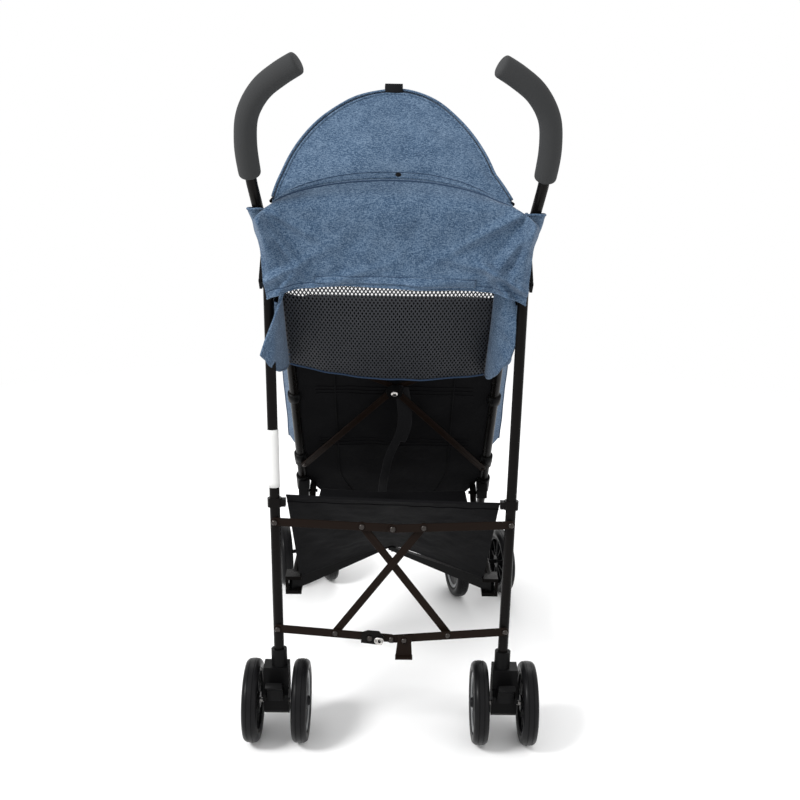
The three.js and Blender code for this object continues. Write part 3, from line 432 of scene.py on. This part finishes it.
def wheel(joint):
    body = joint["child"]
    axis = Vector(joint["axis"])
    if "rear" in body:
        sign = 1 if ("right" in body) == ("outer" in body) else -1
    else:
        sign = -1 if "_a_" in body else 1
    out = axis * sign
    centre = Vector(joint["pos_m"])
    tyre = lathe(body + "_rubber", TYRE_PROFILE, centre, out, TYRE, 96)
    disc = lathe(body + "_disc", HUB_PROFILE, centre, out, HUB, 96)
    ring = lathe(body + "_ring", [(41, 7.3), (41.4, 8.5), (47, 10.1), (47.6, 8.8)], centre, out, RING, 96)
    side = out.orthogonal().normalized()
    other = out.cross(side)
    verts, faces = [], []
    for k in range(SPOKES):
        a = 2 * math.pi * k / SPOKES
        ray = side * math.cos(a) + other * math.sin(a)
        wide = out.cross(ray)
        base = len(verts)
        for r, lift in ((13, -9), (46, -7), (46, 4), (13, 4)):
            for w in (-1.1, 1.1):
                verts.append(centre + ray * (r / 1000) + wide * (w / 1000) + out * (lift / 1000))
        for q in ((0, 1, 3, 2), (2, 3, 5, 4), (4, 5, 7, 6), (6, 7, 1, 0), (0, 2, 4, 6), (1, 7, 5, 3)):
            faces.append(tuple(base + n for n in q))
    spokes = obj_from(body + "_ribs", verts, faces, HUB, False)
    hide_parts(body + "_tyre")
    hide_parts(body + "_hub")
    for piece in (tyre, disc, ring, spokes):
        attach(piece, body)


for joint in frame["joints"]:
    if joint["name"].endswith("_spin"):
        wheel(joint)

# ------------------------------------------------------------------ canopy

HINGE_Y, HINGE_Z = -215, 853


CANOPY_SHIFT = -5  # the canopy sits a little to the left of the middle


def arch(u, half, forward, up, power=1.05, spread=0.97):
    turn = spread * math.pi * (u - 0.5)
    s, c = math.sin(turn), max(math.cos(turn), 0.0)
    x = half * math.copysign(abs(s) ** power, s)
    pull = 22 if s > 0 else -6  # the flanks are pulled straight, the right one more
    x -= pull * min(1.0, c / 0.3) * (1 - c**6)
    return np.array([x + CANOPY_SHIFT, HINGE_Y + forward * c**power, HINGE_Z + up * c**power])


def rows_surface(rows):
    """fn(u, v) through a list of row functions, smooth along v."""

    def surface(u, v):
        pts = [np.array(r(u), float) for r in rows]
        place = v * (len(rows) - 1)
        i = min(int(place), len(rows) - 2)
        t = place - i
        p1, p2 = pts[i], pts[i + 1]
        p0 = pts[i - 1] if i else 2 * p1 - p2
        p3 = pts[i + 2] if i + 2 < len(pts) else 2 * p2 - p1
        square = 2 * p0 - 5 * p1 + 4 * p2 - p3
        cube = 3 * p1 - p0 - 3 * p2 + p3
        return 0.5 * (2 * p1 + (p2 - p0) * t + square * t**2 + cube * t**3)

    return surface


SEAM_ARC = (172, 23, 37)  # half width, forward and up, where dome and flap meet
dome_rows = [
    lambda u: arch(u, *SEAM_ARC),
    lambda u: arch(u, 171, 45, 62),
    lambda u: arch(u, 170, 72, 93),
    lambda u: arch(u, 170, 100, 121),
    lambda u: arch(u, 169, 129, 152),
]
dome_smooth = rows_surface(dome_rows)


def dome_surface(u, v):
    p = dome_smooth(u, v)
    edge = math.sin(math.pi * min(max(v, 0), 1)) * math.sin(math.pi * u)
    wave = fold_noise(p[0], p[1] * 0.4, p[2] * 0.4, 60, 1) * 5.5 + fold_noise(*p, 28, 2) * 1.8
    return p + np.array([0, -0.5, 0.8]) * wave * edge


rear_dome = grid("canopy_top_rear", dome_surface, 84, 40, BLUE, 1.2, 1)
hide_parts("canopy_rear")

# the flap that hangs from the seam arc over the tubes and brackets
def hem_row(u):
    t = 2 * u - 1
    low = 20 if t < 0 else 26
    return (190 * t + 1, -201 + 4 * math.sin(9 * u), 735 - low * abs(t) ** 5 + 2 * math.sin(7 * u))


def shoulder_row(u):
    """Level with the corners where the handle tubes go into the flap."""
    t = 2 * u - 1
    fall = max(0.0, (abs(t) - 0.84) / 0.16)
    return (201 * t - 1, -228 - 3 * (1 - t * t), 848 + 11 * (1 - t * t) - 4 * max(t, 0) - 15 * fall**1.5)


flap_rows = [
    hem_row,
    lambda u: (194 * (2 * u - 1), -207, 762 - 10 * abs(2 * u - 1) ** 3),
    lambda u: (196 * (2 * u - 1), -217, 800 - 4 * abs(2 * u - 1) ** 3),
    shoulder_row,
    lambda u: arch(u, *SEAM_ARC) + np.array([0, -2, 0]),
]
flap_smooth = rows_surface(flap_rows)


def crease(x, z, x0, z0, slope, width, length):
    """A single soft fold that runs from (x0, z0) down a slope and fades out."""
    along = (x - x0) * math.cos(slope) + (z - z0) * math.sin(slope)
    across = -(x - x0) * math.sin(slope) + (z - z0) * math.cos(slope)
    reach = length if along > 0 else 0.25 * length
    return math.exp(-((across / width) ** 2)) * math.exp(-((along / reach) ** 2))


# start across and up, slope, width, length and height of each fold
CREASES = [
    (-198, 846, -0.95, 7, 95, 6.0),
    (-196, 838, -1.25, 6, 80, 5.0),
    (-186, 852, -0.55, 6, 80, 3.5),
    (-192, 820, -1.4, 6, 70, 4.0),
    (-186, 745, 0.5, 6, 60, 4.0),
    (-172, 724, 0.9, 6, 50, 4.5),
    (198, 844, -2.15, 7, 100, 6.5),
    (194, 836, -1.85, 6, 90, 5.5),
    (180, 850, -2.6, 6, 90, 4.0),
    (190, 812, -1.7, 6, 80, 5.0),
    (186, 735, 2.6, 6, 70, 5.0),
    (168, 716, 2.2, 6, 55, 5.0),
    (150, 760, 2.9, 8, 80, 3.0),
    (-120, 735, 0.3, 7, 90, 2.5),
    (40, 742, 0.1, 7, 90, 2.5),
]


def flap_surface(u, v):
    p = np.array(flap_smooth(u, v))
    free = 1 - v
    drape = fold_noise(p[0], 0, p[2] * 0.3, 50, 5) * 9 * free + fold_noise(p[0], 0, p[2], 90, 6) * 9
    fine = fold_noise(p[0], 0, p[2], 22, 8) * 2.8
    ridges = sum(3.0 * high * crease(p[0], p[2], *shape) for *shape, high in CREASES)
    hold = min(1.0, 3 * (1 - v) + 0.1)
    return p + np.array([0, -(abs(drape) * 0.5 + fine + ridges) * hold, 0])


flap = grid("canopy_flap", flap_surface, 96, 48, BLUE, 1.2, 1)
for obj in (rear_dome, flap):
    soft_ride(obj, "frame_left")


def sleeve(side):
    """The corner of the flap goes round the handle tube and is open at the top."""
    sign = -1 if side == "left" else 1
    top = 852 if side == "left" else 849

    def surface(u, v):
        angle = math.radians(-118 + 250 * u)
        z = 722 + (top - 722) * v
        x = np.interp(z, [700, 800, 860], [180, 191, 199.5])
        lift = 10 * math.cos(angle) * v**6
        r = 12.2 + 1.3 * math.sin(2.2 * angle + 5 * v) * (0.4 + 0.6 * v) - 1.5 * v * (1 - v)
        p = on_main(sign * x, z) + MAIN_BACK * (math.cos(angle) * (r + 1)) + MAIN_UP * (lift - 6 * v**4)
        p = p + np.array([sign, 0, 0]) * math.sin(angle) * r
        return p + np.array([sign, -0.4, 0]) * fold_noise(p[0], p[1], p[2], 24, 17) * 1.8

    wrap = grid(f"flap_sleeve_{side}", surface, 32, 40, BLUE, 1.4, 1)
    rim = sweep(f"flap_rim_{side}", [surface(k / 30, 1.0) for k in range(31)], 1.7, BLUE, 10)
    edge = sweep(f"flap_edge_{side}", [surface(1.0, k / 30) for k in range(31)], 1.5, BLUE, 10)
    for piece in (wrap, rim, edge):
        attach(piece, f"frame_{side}")


sleeve("left")
sleeve("right")


def front_surface(u, v):
    angle = math.radians(50 - 36 * v)
    p = arch(u, 175, 206 * math.cos(angle), 206 * math.sin(angle), spread=0.95)
    edge = math.sin(math.pi * u)
    return p + np.array([0, 0.2, 0.6]) * fold_noise(*p, 45, 9) * 2.0 * edge


front = grid("canopy_top_front", front_surface, 80, 30, BLUE, 1.2, 1, -1.0)
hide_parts("canopy_front")
soft_ride(front, "canopy")


def ribbon(name, points, width, thick, mat, body, up=(0, 0, 1), squash=False):
    """A flat strap along points, width across and thick through."""
    obj = sweep(name, points, width / 2, mat, 12, thick / width, up)
    soft_ride(obj, body, squash)
    return obj


def line_on(fn, v, count=60, lift=1.0, u0=0.0, u1=1.0):
    pts = []
    for i in range(count + 1):
        u = u0 + (u1 - u0) * i / count
        p = np.array(fn(u, v))
        d = np.array(fn(min(u + 0.01, 1), v)) - np.array(fn(max(u - 0.01, 0), v))
        e = np.array(fn(u, min(v + 0.02, 1))) - np.array(fn(u, max(v - 0.02, 0)))
        n = np.cross(d, e)
        n = n / (np.linalg.norm(n) + 1e-9)
        if n[1] > 0:
            n = -n
        pts.append(p + n * lift)
    return pts


def seam(name, fn, v, radius, mat, body, lift=0.8, u0=0.0, u1=1.0, sides=8):
    cord = sweep(name, line_on(fn, v, 70, lift, u0, u1), radius, mat, sides)
    soft_ride(cord, body)
    return cord


seam("arch_seam", dome_surface, 0.012, 3.0, BLUE, "frame_left", lift=0.4)
# a thin dark cord just under the padded roll of the seam arc: a painted shadow line, not a fold or seam in the
# cloth
seam("arch_shadow_line", flap_surface, 0.975, 1.2, PIPING_AND_SHADOW, "frame_left", lift=0.8)
seam("arch_stitch", dome_surface, 0.085, 0.45, PIPING_AND_SHADOW, "frame_left", lift=0.9)
seam("rib_piping", dome_surface, 1.0, 2.0, BLUE, "frame_left", lift=0.5)
seam("flap_hem", flap_surface, 0.0, 1.5, BLUE, "frame_left", lift=0.2)
seam("flap_stitch", flap_surface, 0.07, 0.4, PIPING_AND_SHADOW, "frame_left", lift=0.9)
seam("pocket_low", flap_surface, 0.05, 0.7, PIPING_AND_SHADOW, "frame_left", lift=1.2, u0=0.2, u1=0.79)
seam("pocket_top", flap_surface, 0.15, 0.7, PIPING_AND_SHADOW, "frame_left", lift=1.2, u0=0.19, u1=0.8)


def pocket_surface(u, v):
    across = 0.19 + 0.61 * u
    return line_on(flap_surface, 0.05 + 0.1 * v, 1, 1.6, across, across + 0.001)[0]


pocket = grid("pocket_band", pocket_surface, 50, 6, BLUE, 2.2, 0)
soft_ride(pocket, "frame_left")
seam("front_hem", front_surface, 1.0, 2.2, BLUE, "canopy", lift=0.2)
bow = sweep("bow_wire", line_on(front_surface, 1.0, 60, -2.5), 2.6, BLACK, 12)
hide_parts("canopy_bow")
soft_ride(bow, "canopy")
seam("front_piping", front_surface, 0.0, 1.8, BLUE, "canopy", lift=0.2)
top = dome_surface(0.5, 1.0)
loop_points = [top + np.array([11 - 22 * k / 10, -1 - 2 * math.sin(0.3 * k), 8]) for k in range(11)]
for a in np.linspace(0.4, 4.4, 10):
    loop_points.append(top + np.array([-11 - 4 * math.sin(a), 3 - 4 * math.cos(a), 8]))
ribbon("carry_loop", loop_points, 13, 1.6, WEB, "frame_left", up=(0, -1, 0), squash=True)
snap = dome_surface(0.5, 0.04) + np.array([6, -2.6, 1.4])
snap_head = dome("canopy_snap", V(*snap), (0, -0.8, 0.6), 4.2, "frame_left", PLASTIC, 1.8)
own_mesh(snap_head)

# ------------------------------------------------------------------ mesh panel and side strips


def mesh_surface(u, v):
    t = 2 * u - 1
    low = 577 + 8 * t * t - 8.5 * t
    z = low + (768 - low) * v
    bulge = 24 + 15 * (1 - t * t) + 4 * math.sin(math.pi * v)
    p = on_main(t * 160 - 12, z, bulge)
    return p + MAIN_BACK * fold_noise(p[0], 0, p[2], 40, 11) * 3


mesh = grid("mesh_back", mesh_surface, 60, 30, MESH, 0.8, 0)
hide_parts("mesh_panel")
soft_ride(mesh, "frame_left")
LINING = fabric_black("lining", (0.003, 0.003, 0.0035))


def lining_surface(u, v):
    """Just in front of the mesh, and short of its top, so light shows through the upper rows."""
    return mesh_surface(u, 0.77 * v) - MAIN_BACK * 3.0


lining = grid("mesh_lining", lining_surface, 40, 16, LINING, 0.8, 0)
soft_ride(lining, "frame_left")
seam("mesh_piping", mesh_surface, 0.0, 1.7, PIPING_AND_SHADOW, "frame_left", lift=0.3)

# the outer edges of the loose cloth, from top to bottom
TAIL = {
    "left": [(-166, -186, 722), (-179, -204, 684), (-191, -209, 654), (-198, -210, 633)],
    "right": [(176, -160, 722), (180, -168, 680), (182, -166, 646), (176, -160, 622)],
}


def strip(side):
    """Blue cloth at one side of the back: round the tube, loose behind it, and beside the seat."""
    sign = -1 if side == "left" else 1

    def surface(u, v):
        z = 592 + 116 * v
        x = MAIN_X + max(0, z - 620) * 0.07
        a = math.radians(-70 + 230 * u)
        r = 15 + 4 * math.sin(math.pi * u) * (1 - 0.5 * v)
        across = np.array([sign, 0, 0]) * math.sin(a) * r
        p = on_main(sign * x, z) + MAIN_BACK * (math.cos(a) * r + 6) + across
        return p + MAIN_BACK * fold_noise(p[0], 0, p[2], 30, 14) * 2

    obj = grid(f"side_strip_{side}", surface, 24, 36, BLUE, 1.2, 1)
    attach(obj, f"frame_{side}")
    outer = TAIL[side]

    def tail(u, v):
        """Loose cloth from the edge of the mesh out to the leg."""
        edge = np.array([np.interp(v * 3, range(4), [q[k] for q in outer]) for k in range(3)])
        inner = np.array(mesh_surface(0.0 if side == "left" else 1.0, 1 - v))
        p = inner * (1 - u) + edge * u
        p[1] = inner[1] + (edge[1] - inner[1]) * u**0.4
        bend = math.sin(math.pi * u) * 9 * math.sin(4.2 * v + 1.1 * sign) + 5 * math.sin(math.pi * u)
        crumple = fold_noise(p[0], p[1], p[2], 26, 19) * 6 * math.sin(math.pi * u)
        return p + np.array([0, -abs(bend) - 4 * u, 0]) + np.array([0, 1, 0.4]) * crumple

    loose = grid(f"side_tail_{side}", tail, 28, 36, BLUE, 1.4, 1)
    outline = [tail(1.0, k / 30) for k in range(31)] + [tail(1 - k / 20, 1.0) for k in range(1, 21)]
    rim = sweep(f"tail_rim_{side}", outline, 1.8, BLUE, 8)
    for piece in (loose, rim):
        soft_ride(piece, "frame_left", side == "right")

    def wing(u, v):
        z = 350 + 342 * v
        depth = 8 + 58 * u * (0.55 + 0.45 * math.sin(math.pi * (0.12 + 0.8 * v)))
        ripple = fold_noise(u * 60, 0, z, 50, 15) * 3
        return on_main(sign * (160 + 38 * u**0.7), z, -depth) + np.array([ripple, 0, 0])

    panel = grid(f"side_wing_{side}", wing, 16, 48, BLUE, 2.0, 1)
    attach(panel, f"frame_{side}")
    hem = sweep(f"wing_hem_{side}", [wing(1.0, k / 40) for k in range(41)], 2.0, PIPING_AND_SHADOW, 8)
    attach(hem, f"frame_{side}")


for side in ("left", "right"):
    strip(side)

# ------------------------------------------------------------------ padded seat


def cushion(node_name, body, puff):
    """The slab's own outline, puffed up by a cloth simulation with its inside under pressure."""
    source = frame["nodes"][node_name]
    obj = bpy.data.objects.new(node_name + "_pad", source.data.copy())
    bpy.context.scene.collection.objects.link(obj)
    obj.data.materials.clear()
    obj.data.materials.append(CLOTH)
    remesh = obj.modifiers.new("remesh", "REMESH")
    remesh.mode = "VOXEL"
    remesh.voxel_size = 0.006
    applied(obj)
    cloth = obj.modifiers.new("cloth", "CLOTH")
    cloth.settings.use_pressure = True
    cloth.settings.uniform_pressure_force = 4.0
    cloth.settings.effector_weights.gravity = 0.0
    cloth.settings.quality = 5
    cloth.point_cache.frame_start = 1
    cloth.point_cache.frame_end = 20
    before = np.array([v.co[:] for v in obj.data.vertices])
    for number in range(1, 21):
        bpy.context.scene.frame_set(number)
    bpy.context.view_layer.update()
    graph = bpy.context.evaluated_depsgraph_get()
    after_mesh = obj.evaluated_get(graph).to_mesh()
    after = np.array([v.co[:] for v in after_mesh.vertices])
    obj.modifiers.clear()
    bpy.context.scene.frame_set(1)
    move = after - before
    size = np.linalg.norm(move, axis=1, keepdims=True)
    move *= np.minimum(1, puff / 1000 / np.maximum(size, 1e-9))
    for vertex, place in zip(obj.data.vertices, before + move):
        vertex.co = place
    smooth = obj.modifiers.new("round", "SMOOTH")
    smooth.iterations = 4
    divide = obj.modifiers.new("fine", "SUBSURF")
    divide.levels = divide.render_levels = 1
    applied(obj)
    if node_name == "seat_back":  # the padding ends below the open mesh row
        for vertex in obj.data.vertices:
            over = max(0.0, vertex.co.z - 0.655)
            vertex.co.z -= 0.45 * over
            vertex.co.y += 0.45 * over / math.tan(MAIN_ANGLE)
    obj.data.polygons.foreach_set("use_smooth", [True] * len(obj.data.polygons))
    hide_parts(node_name)
    soft_ride(obj, body)
    return obj


cushion("seat_base", "rail_left", 5)
cushion("seat_back", "frame_left", 5)

# the rear of the back: bands and seams
BACK_LOW = 240
BACK_RISE = 448


def back_line(name, points, radius, mat):
    obj = sweep(name, points, radius, mat, 8, up=tuple(MAIN_UP))
    soft_ride(obj, "frame_left")


def rear_surface(u, v):
    """Cloth that closes the back between the tubes."""
    t = 2 * u - 1
    z = BACK_LOW + BACK_RISE * v
    low = max(0.0, (322 - z) / 82)
    p = on_main(t * (170 - 46 * low**1.7), z, 1.0)
    soft = 1 - t**8
    return p - MAIN_BACK * (6 * soft) + MAIN_BACK * (fold_noise(p[0], 0, p[2], 45, 21) * 4 * soft)


rear = grid("back_cover", rear_surface, 60, 70, CLOTH, 1.2, 1)
soft_ride(rear, "frame_left")
for number, z in enumerate((378, 386, 394, 500, 508, 516)):
    v = (z - BACK_LOW) / BACK_RISE
    seam(f"back_band_{number}", rear_surface, v, 1.5, CLOTH, "frame_left", 0.8, 0.1, 0.9)
for number, u in enumerate((0.2, 0.8)):
    points = [np.array(rear_surface(u, v)) + MAIN_BACK * 1.2 for v in np.linspace(0, 0.95, 40)]
    back_line(f"back_seam_{number}", points, 1.2, CLOTH)

# ------------------------------------------------------------------ basket


def strap_line(t):
    return np.array([165.5 * t, leg_y(400) - 2, 402 - 4.7 * t + 1.2 * t * t])


def bar_line(t):
    return np.array([163 * t, 138 - 148 * abs(t) ** 1.15, 171 + 3 * t * t])


def front_line(t):
    return np.array([136 * t, 143, 285 - 6 * (1 - t * t)])


def basket_surface(u, v):
    t = 2 * u - 1
    if v < 0.8:
        w = v / 0.8
        p = strap_line(t) * (1 - w) + bar_line(t) * w
        belly = math.sin(math.pi * w) * (1 - t * t)
        p = p + np.array([0, 0, -7 * belly])
        wrinkle = math.sin(math.pi * w) ** 0.6
    else:
        w = (v - 0.8) / 0.2
        p = bar_line(t) * (1 - w) + front_line(t) * w
        wrinkle = math.sin(math.pi * w)
    fold = fold_noise(p[0] * 1.2, p[1] * 0.35, p[2] * 0.3, 34, 31) * 6 + fold_noise(*p, 18, 32) * 1.6
    return p + np.array([0, 0.3, 0.8]) * fold * wrinkle * (1 - 0.6 * t**6)


basket = grid("basket_cloth", basket_surface, 72, 60, CLOTH, 1.2, 1)
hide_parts("basket")
soft_ride(basket, "basket")
seam("basket_hem", basket_surface, 0.0, 2.0, CLOTH, "basket", 0.3)
seam("basket_hem_band", basket_surface, 0.05, 1.0, CLOTH, "basket", 0.8)

# ------------------------------------------------------------------ straps, clips, label and rivets

STRAP_Z = [256, 310, 370, 420, 450, 490, 530, 540]
STRAP_X = [-22, -19, -9, 8, 15, 14, 8, 6]
for name, shift, top, low in (("adjuster_strap", 0, 540, 262), ("adjuster_tail", 9, 536, 410)):
    strap_path = []
    for k in range(60):
        z = top + (low - top) * k / 59
        x = np.mean([np.interp(z + dz, STRAP_Z, STRAP_X) for dz in range(-16, 17, 4)])
        strap_path.append(on_main(x + shift, z, 14 + 0.09 * abs(z - 470) ** 0.8 + 1.5 * math.sin(z / 22)))
    ribbon(name, strap_path, 16, 2.2, WEB, "frame_left", up=tuple(MAIN_BACK), squash=True)
for side, sign in (("left", -1), ("right", 1)):
    for z in (352, 498):
        length = [on_main(sign * MAIN_X, z + dz) for dz in (-8, -7, 7, 8)]
        collar = sweep(f"tube_clip_{side}_{z}", length, [10.5, 11.5, 11.5, 10.5], PLASTIC, 24)
        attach(collar, f"frame_{side}")

for side, sign in (("left", -1), ("right", 1)):
    path = []
    for w in np.linspace(0, 1, 40):
        path.append(on_main(sign * (44 - 6 * w), 660 - 240 * w, -42 + 3 * math.sin(9 * w)))
    name = f"shoulder_strap_{side}"
    ribbon(name, path, 22, 2.0, WEB, "frame_left", up=tuple(MAIN_BACK), squash=True)
buckle = block("buckle", on_main(-20, 402, -52), on_main(20, 432, -40) + np.array([0, 14, 0]), PLASTIC, 4)
soft_ride(buckle, "frame_left")

label_points = [(-leg_x(z), leg_y(z), z) for z in np.linspace(420, 510, 12)]
label = sweep("label_sleeve", label_points, 8.9, WHITE, 40)
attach(label, "leg_left")

LEG_BACK = Vector((0, -math.cos(LEG_ANGLE), math.sin(LEG_ANGLE)))
LEG_UP = Vector((0, math.sin(LEG_ANGLE), math.cos(LEG_ANGLE)))
RIVET_HEAD = 4.4
LOWER_RIVET_Z = 194.5
LOWER_HALF, LOWER_SLOPE = 178.5, math.radians(4.5)
UPPER_HALF, UPPER_SLOPE, UPPER_RISE = 182.5, math.radians(2.5), 174
STRUT_REACH = 89


def rivet_at(joint_name, height, body=None, radius=RIVET_HEAD):
    joint = JOINTS[joint_name]
    centre = Vector(joint["pos_m"]) + Vector(joint["axis"]) * (height / 1000)
    dome(joint_name + "_rivet", centre, joint["axis"], radius, body or joint["child"])


rivet_at("lower_left_turn", 16.0, "leg_left")
rivet_at("lower_right_turn", 16.0, "leg_right")
rivet_at("upper_left_turn", 16.0, "leg_left")
rivet_at("upper_right_turn", 16.0, "leg_right")
rivet_at("centre_turn", 15.6, "lower_left")
rivet_at("strut_left_turn", 12.4, "upper_left")
rivet_at("strut_right_turn", 15.2, "upper_right")
rivet_at("lock_turn", 18.6, "lower_left")
rivet_at("pedal_turn", 23.8, "lower_right")


def link_point(x, y, back):
    """Across, up the legs from the lower rivets, and back from the legs' centre lines."""
    place = Vector((0, leg_y(LOWER_RIVET_Z), LOWER_RIVET_Z)) + LEG_UP * y + LEG_BACK * back
    return V(x, place.y, place.z)


foot_x = STRUT_REACH * math.cos(LOWER_SLOPE)
foot_y = -(LOWER_HALF / math.cos(LOWER_SLOPE) - STRUT_REACH) * math.sin(LOWER_SLOPE)
middle_y = UPPER_RISE - UPPER_HALF * math.tan(UPPER_SLOPE)
dome("strut_foot_left", link_point(-foot_x, foot_y, 11.2), LEG_BACK, RIVET_HEAD, "lower_left")
dome("strut_foot_right", link_point(foot_x, foot_y, 14.1), LEG_BACK, RIVET_HEAD, "lower_right")
dome("upper_middle", link_point(0, middle_y, 15.8), LEG_BACK, RIVET_HEAD, "upper_right")
hub_joint = JOINTS["brace_hub_turn"]
hub_top = Vector(hub_joint["pos_m"]) + Vector((0, MAIN_BACK[1], MAIN_BACK[2])) * 0.0262
dome("hub_rivet", hub_top, (0, MAIN_BACK[1], MAIN_BACK[2]), 6.0, "brace_hub", STEEL, 3.0)
spring = []
for a in np.linspace(0, 5.5 * math.pi, 90):
    p = link_point(-22 + 5 * math.cos(a) + 0.35 * a, -15 + 5 * math.sin(a), 19.5 + 0.12 * a) * 1000
    spring.append((p[0], p[1] - SHIFT_Y, p[2]))
coil = sweep("lock_spring", spring, 0.75, STEEL, 8)
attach(coil, "lower_left")
rivet_at("brace_lower_left_turn", 16.0, "frame_left")

# ------------------------------------------------------------------ stage, light, camera

floor_mat = material("floor", (0.95, 0.95, 0.95), 0.8)
place = add_node(floor_mat, "ShaderNodeNewGeometry")
reach = add_node(floor_mat, "ShaderNodeVectorMath", operation="LENGTH")
link(floor_mat, place, "Position", reach, 0)
fade = add_node(floor_mat, "ShaderNodeMapRange")
fade.inputs["From Min"].default_value = 0.6
fade.inputs["From Max"].default_value = 2.2
link(floor_mat, reach, "Value", fade, "Value")
glow = add_node(floor_mat, "ShaderNodeEmission")
blend = add_node(floor_mat, "ShaderNodeMixShader")
link(floor_mat, fade, "Result", blend, 0)
link(floor_mat, floor_mat.node_tree.nodes["Principled BSDF"], 0, blend, 1)
link(floor_mat, glow, 0, blend, 2)
link(floor_mat, blend, 0, floor_mat.node_tree.nodes["Material Output"], 0)
corners = [(-30, -30, 0), (30, -30, 0), (30, 30, 0), (-30, 30, 0)]
floor = obj_from("floor", corners, [(0, 1, 2, 3)], floor_mat, False)


def area_light(name, place, target, size, power):
    data = bpy.data.lights.new(name, "AREA")
    data.shape = "DISK"
    data.size = size
    data.energy = power
    lamp = bpy.data.objects.new(name, data)
    bpy.context.scene.collection.objects.link(lamp)
    lamp.location = place
    lamp.rotation_euler = (Vector(target) - Vector(place)).to_track_quat("-Z", "Y").to_euler()


area_light("key", (-2.0, -1.6, 2.6), (0, 0, 0.6), 1.0, 85)
area_light("fill", (2.2, -1.6, 1.6), (0, 0, 0.5), 2.4, 12)
area_light("rim", (0.3, 2.4, 2.4), (0, 0, 0.6), 2.0, 26)
world = bpy.data.worlds.new("studio")
world.use_nodes = True
world.node_tree.nodes["Background"].inputs["Color"].default_value = (1, 1, 1, 1)
world.node_tree.nodes["Background"].inputs["Strength"].default_value = 1.0
bpy.context.scene.world = world
bpy.context.scene.view_settings.view_transform = "Standard"

yaw, pitch, roll = 0.0066, 0.2905, 0.0155
ahead = Vector((math.sin(yaw), math.cos(yaw), 0))
right = Vector((math.cos(yaw), -math.sin(yaw), 0))
look = ahead * math.cos(pitch) - Vector((0, 0, 1)) * math.sin(pitch)
upward = Vector((0, 0, 1)) * math.cos(pitch) + ahead * math.sin(pitch)
cam_x = right * math.cos(roll) + upward * math.sin(roll)
cam_y = upward * math.cos(roll) - right * math.sin(roll)
data = bpy.data.cameras.new("camera")
data.sensor_width = 36
data.lens = 36 * 1073.065 / 800
camera = bpy.data.objects.new("camera", data)
bpy.context.scene.collection.objects.link(camera)
basis = Matrix((cam_x, cam_y, -look)).transposed().to_4x4()
basis.translation = Vector((-0.0019, -1.7499 + SHIFT_Y / 1000, 1.026))
camera.matrix_world = basis
bpy.context.scene.camera = camera

bpy.context.view_layer.update()
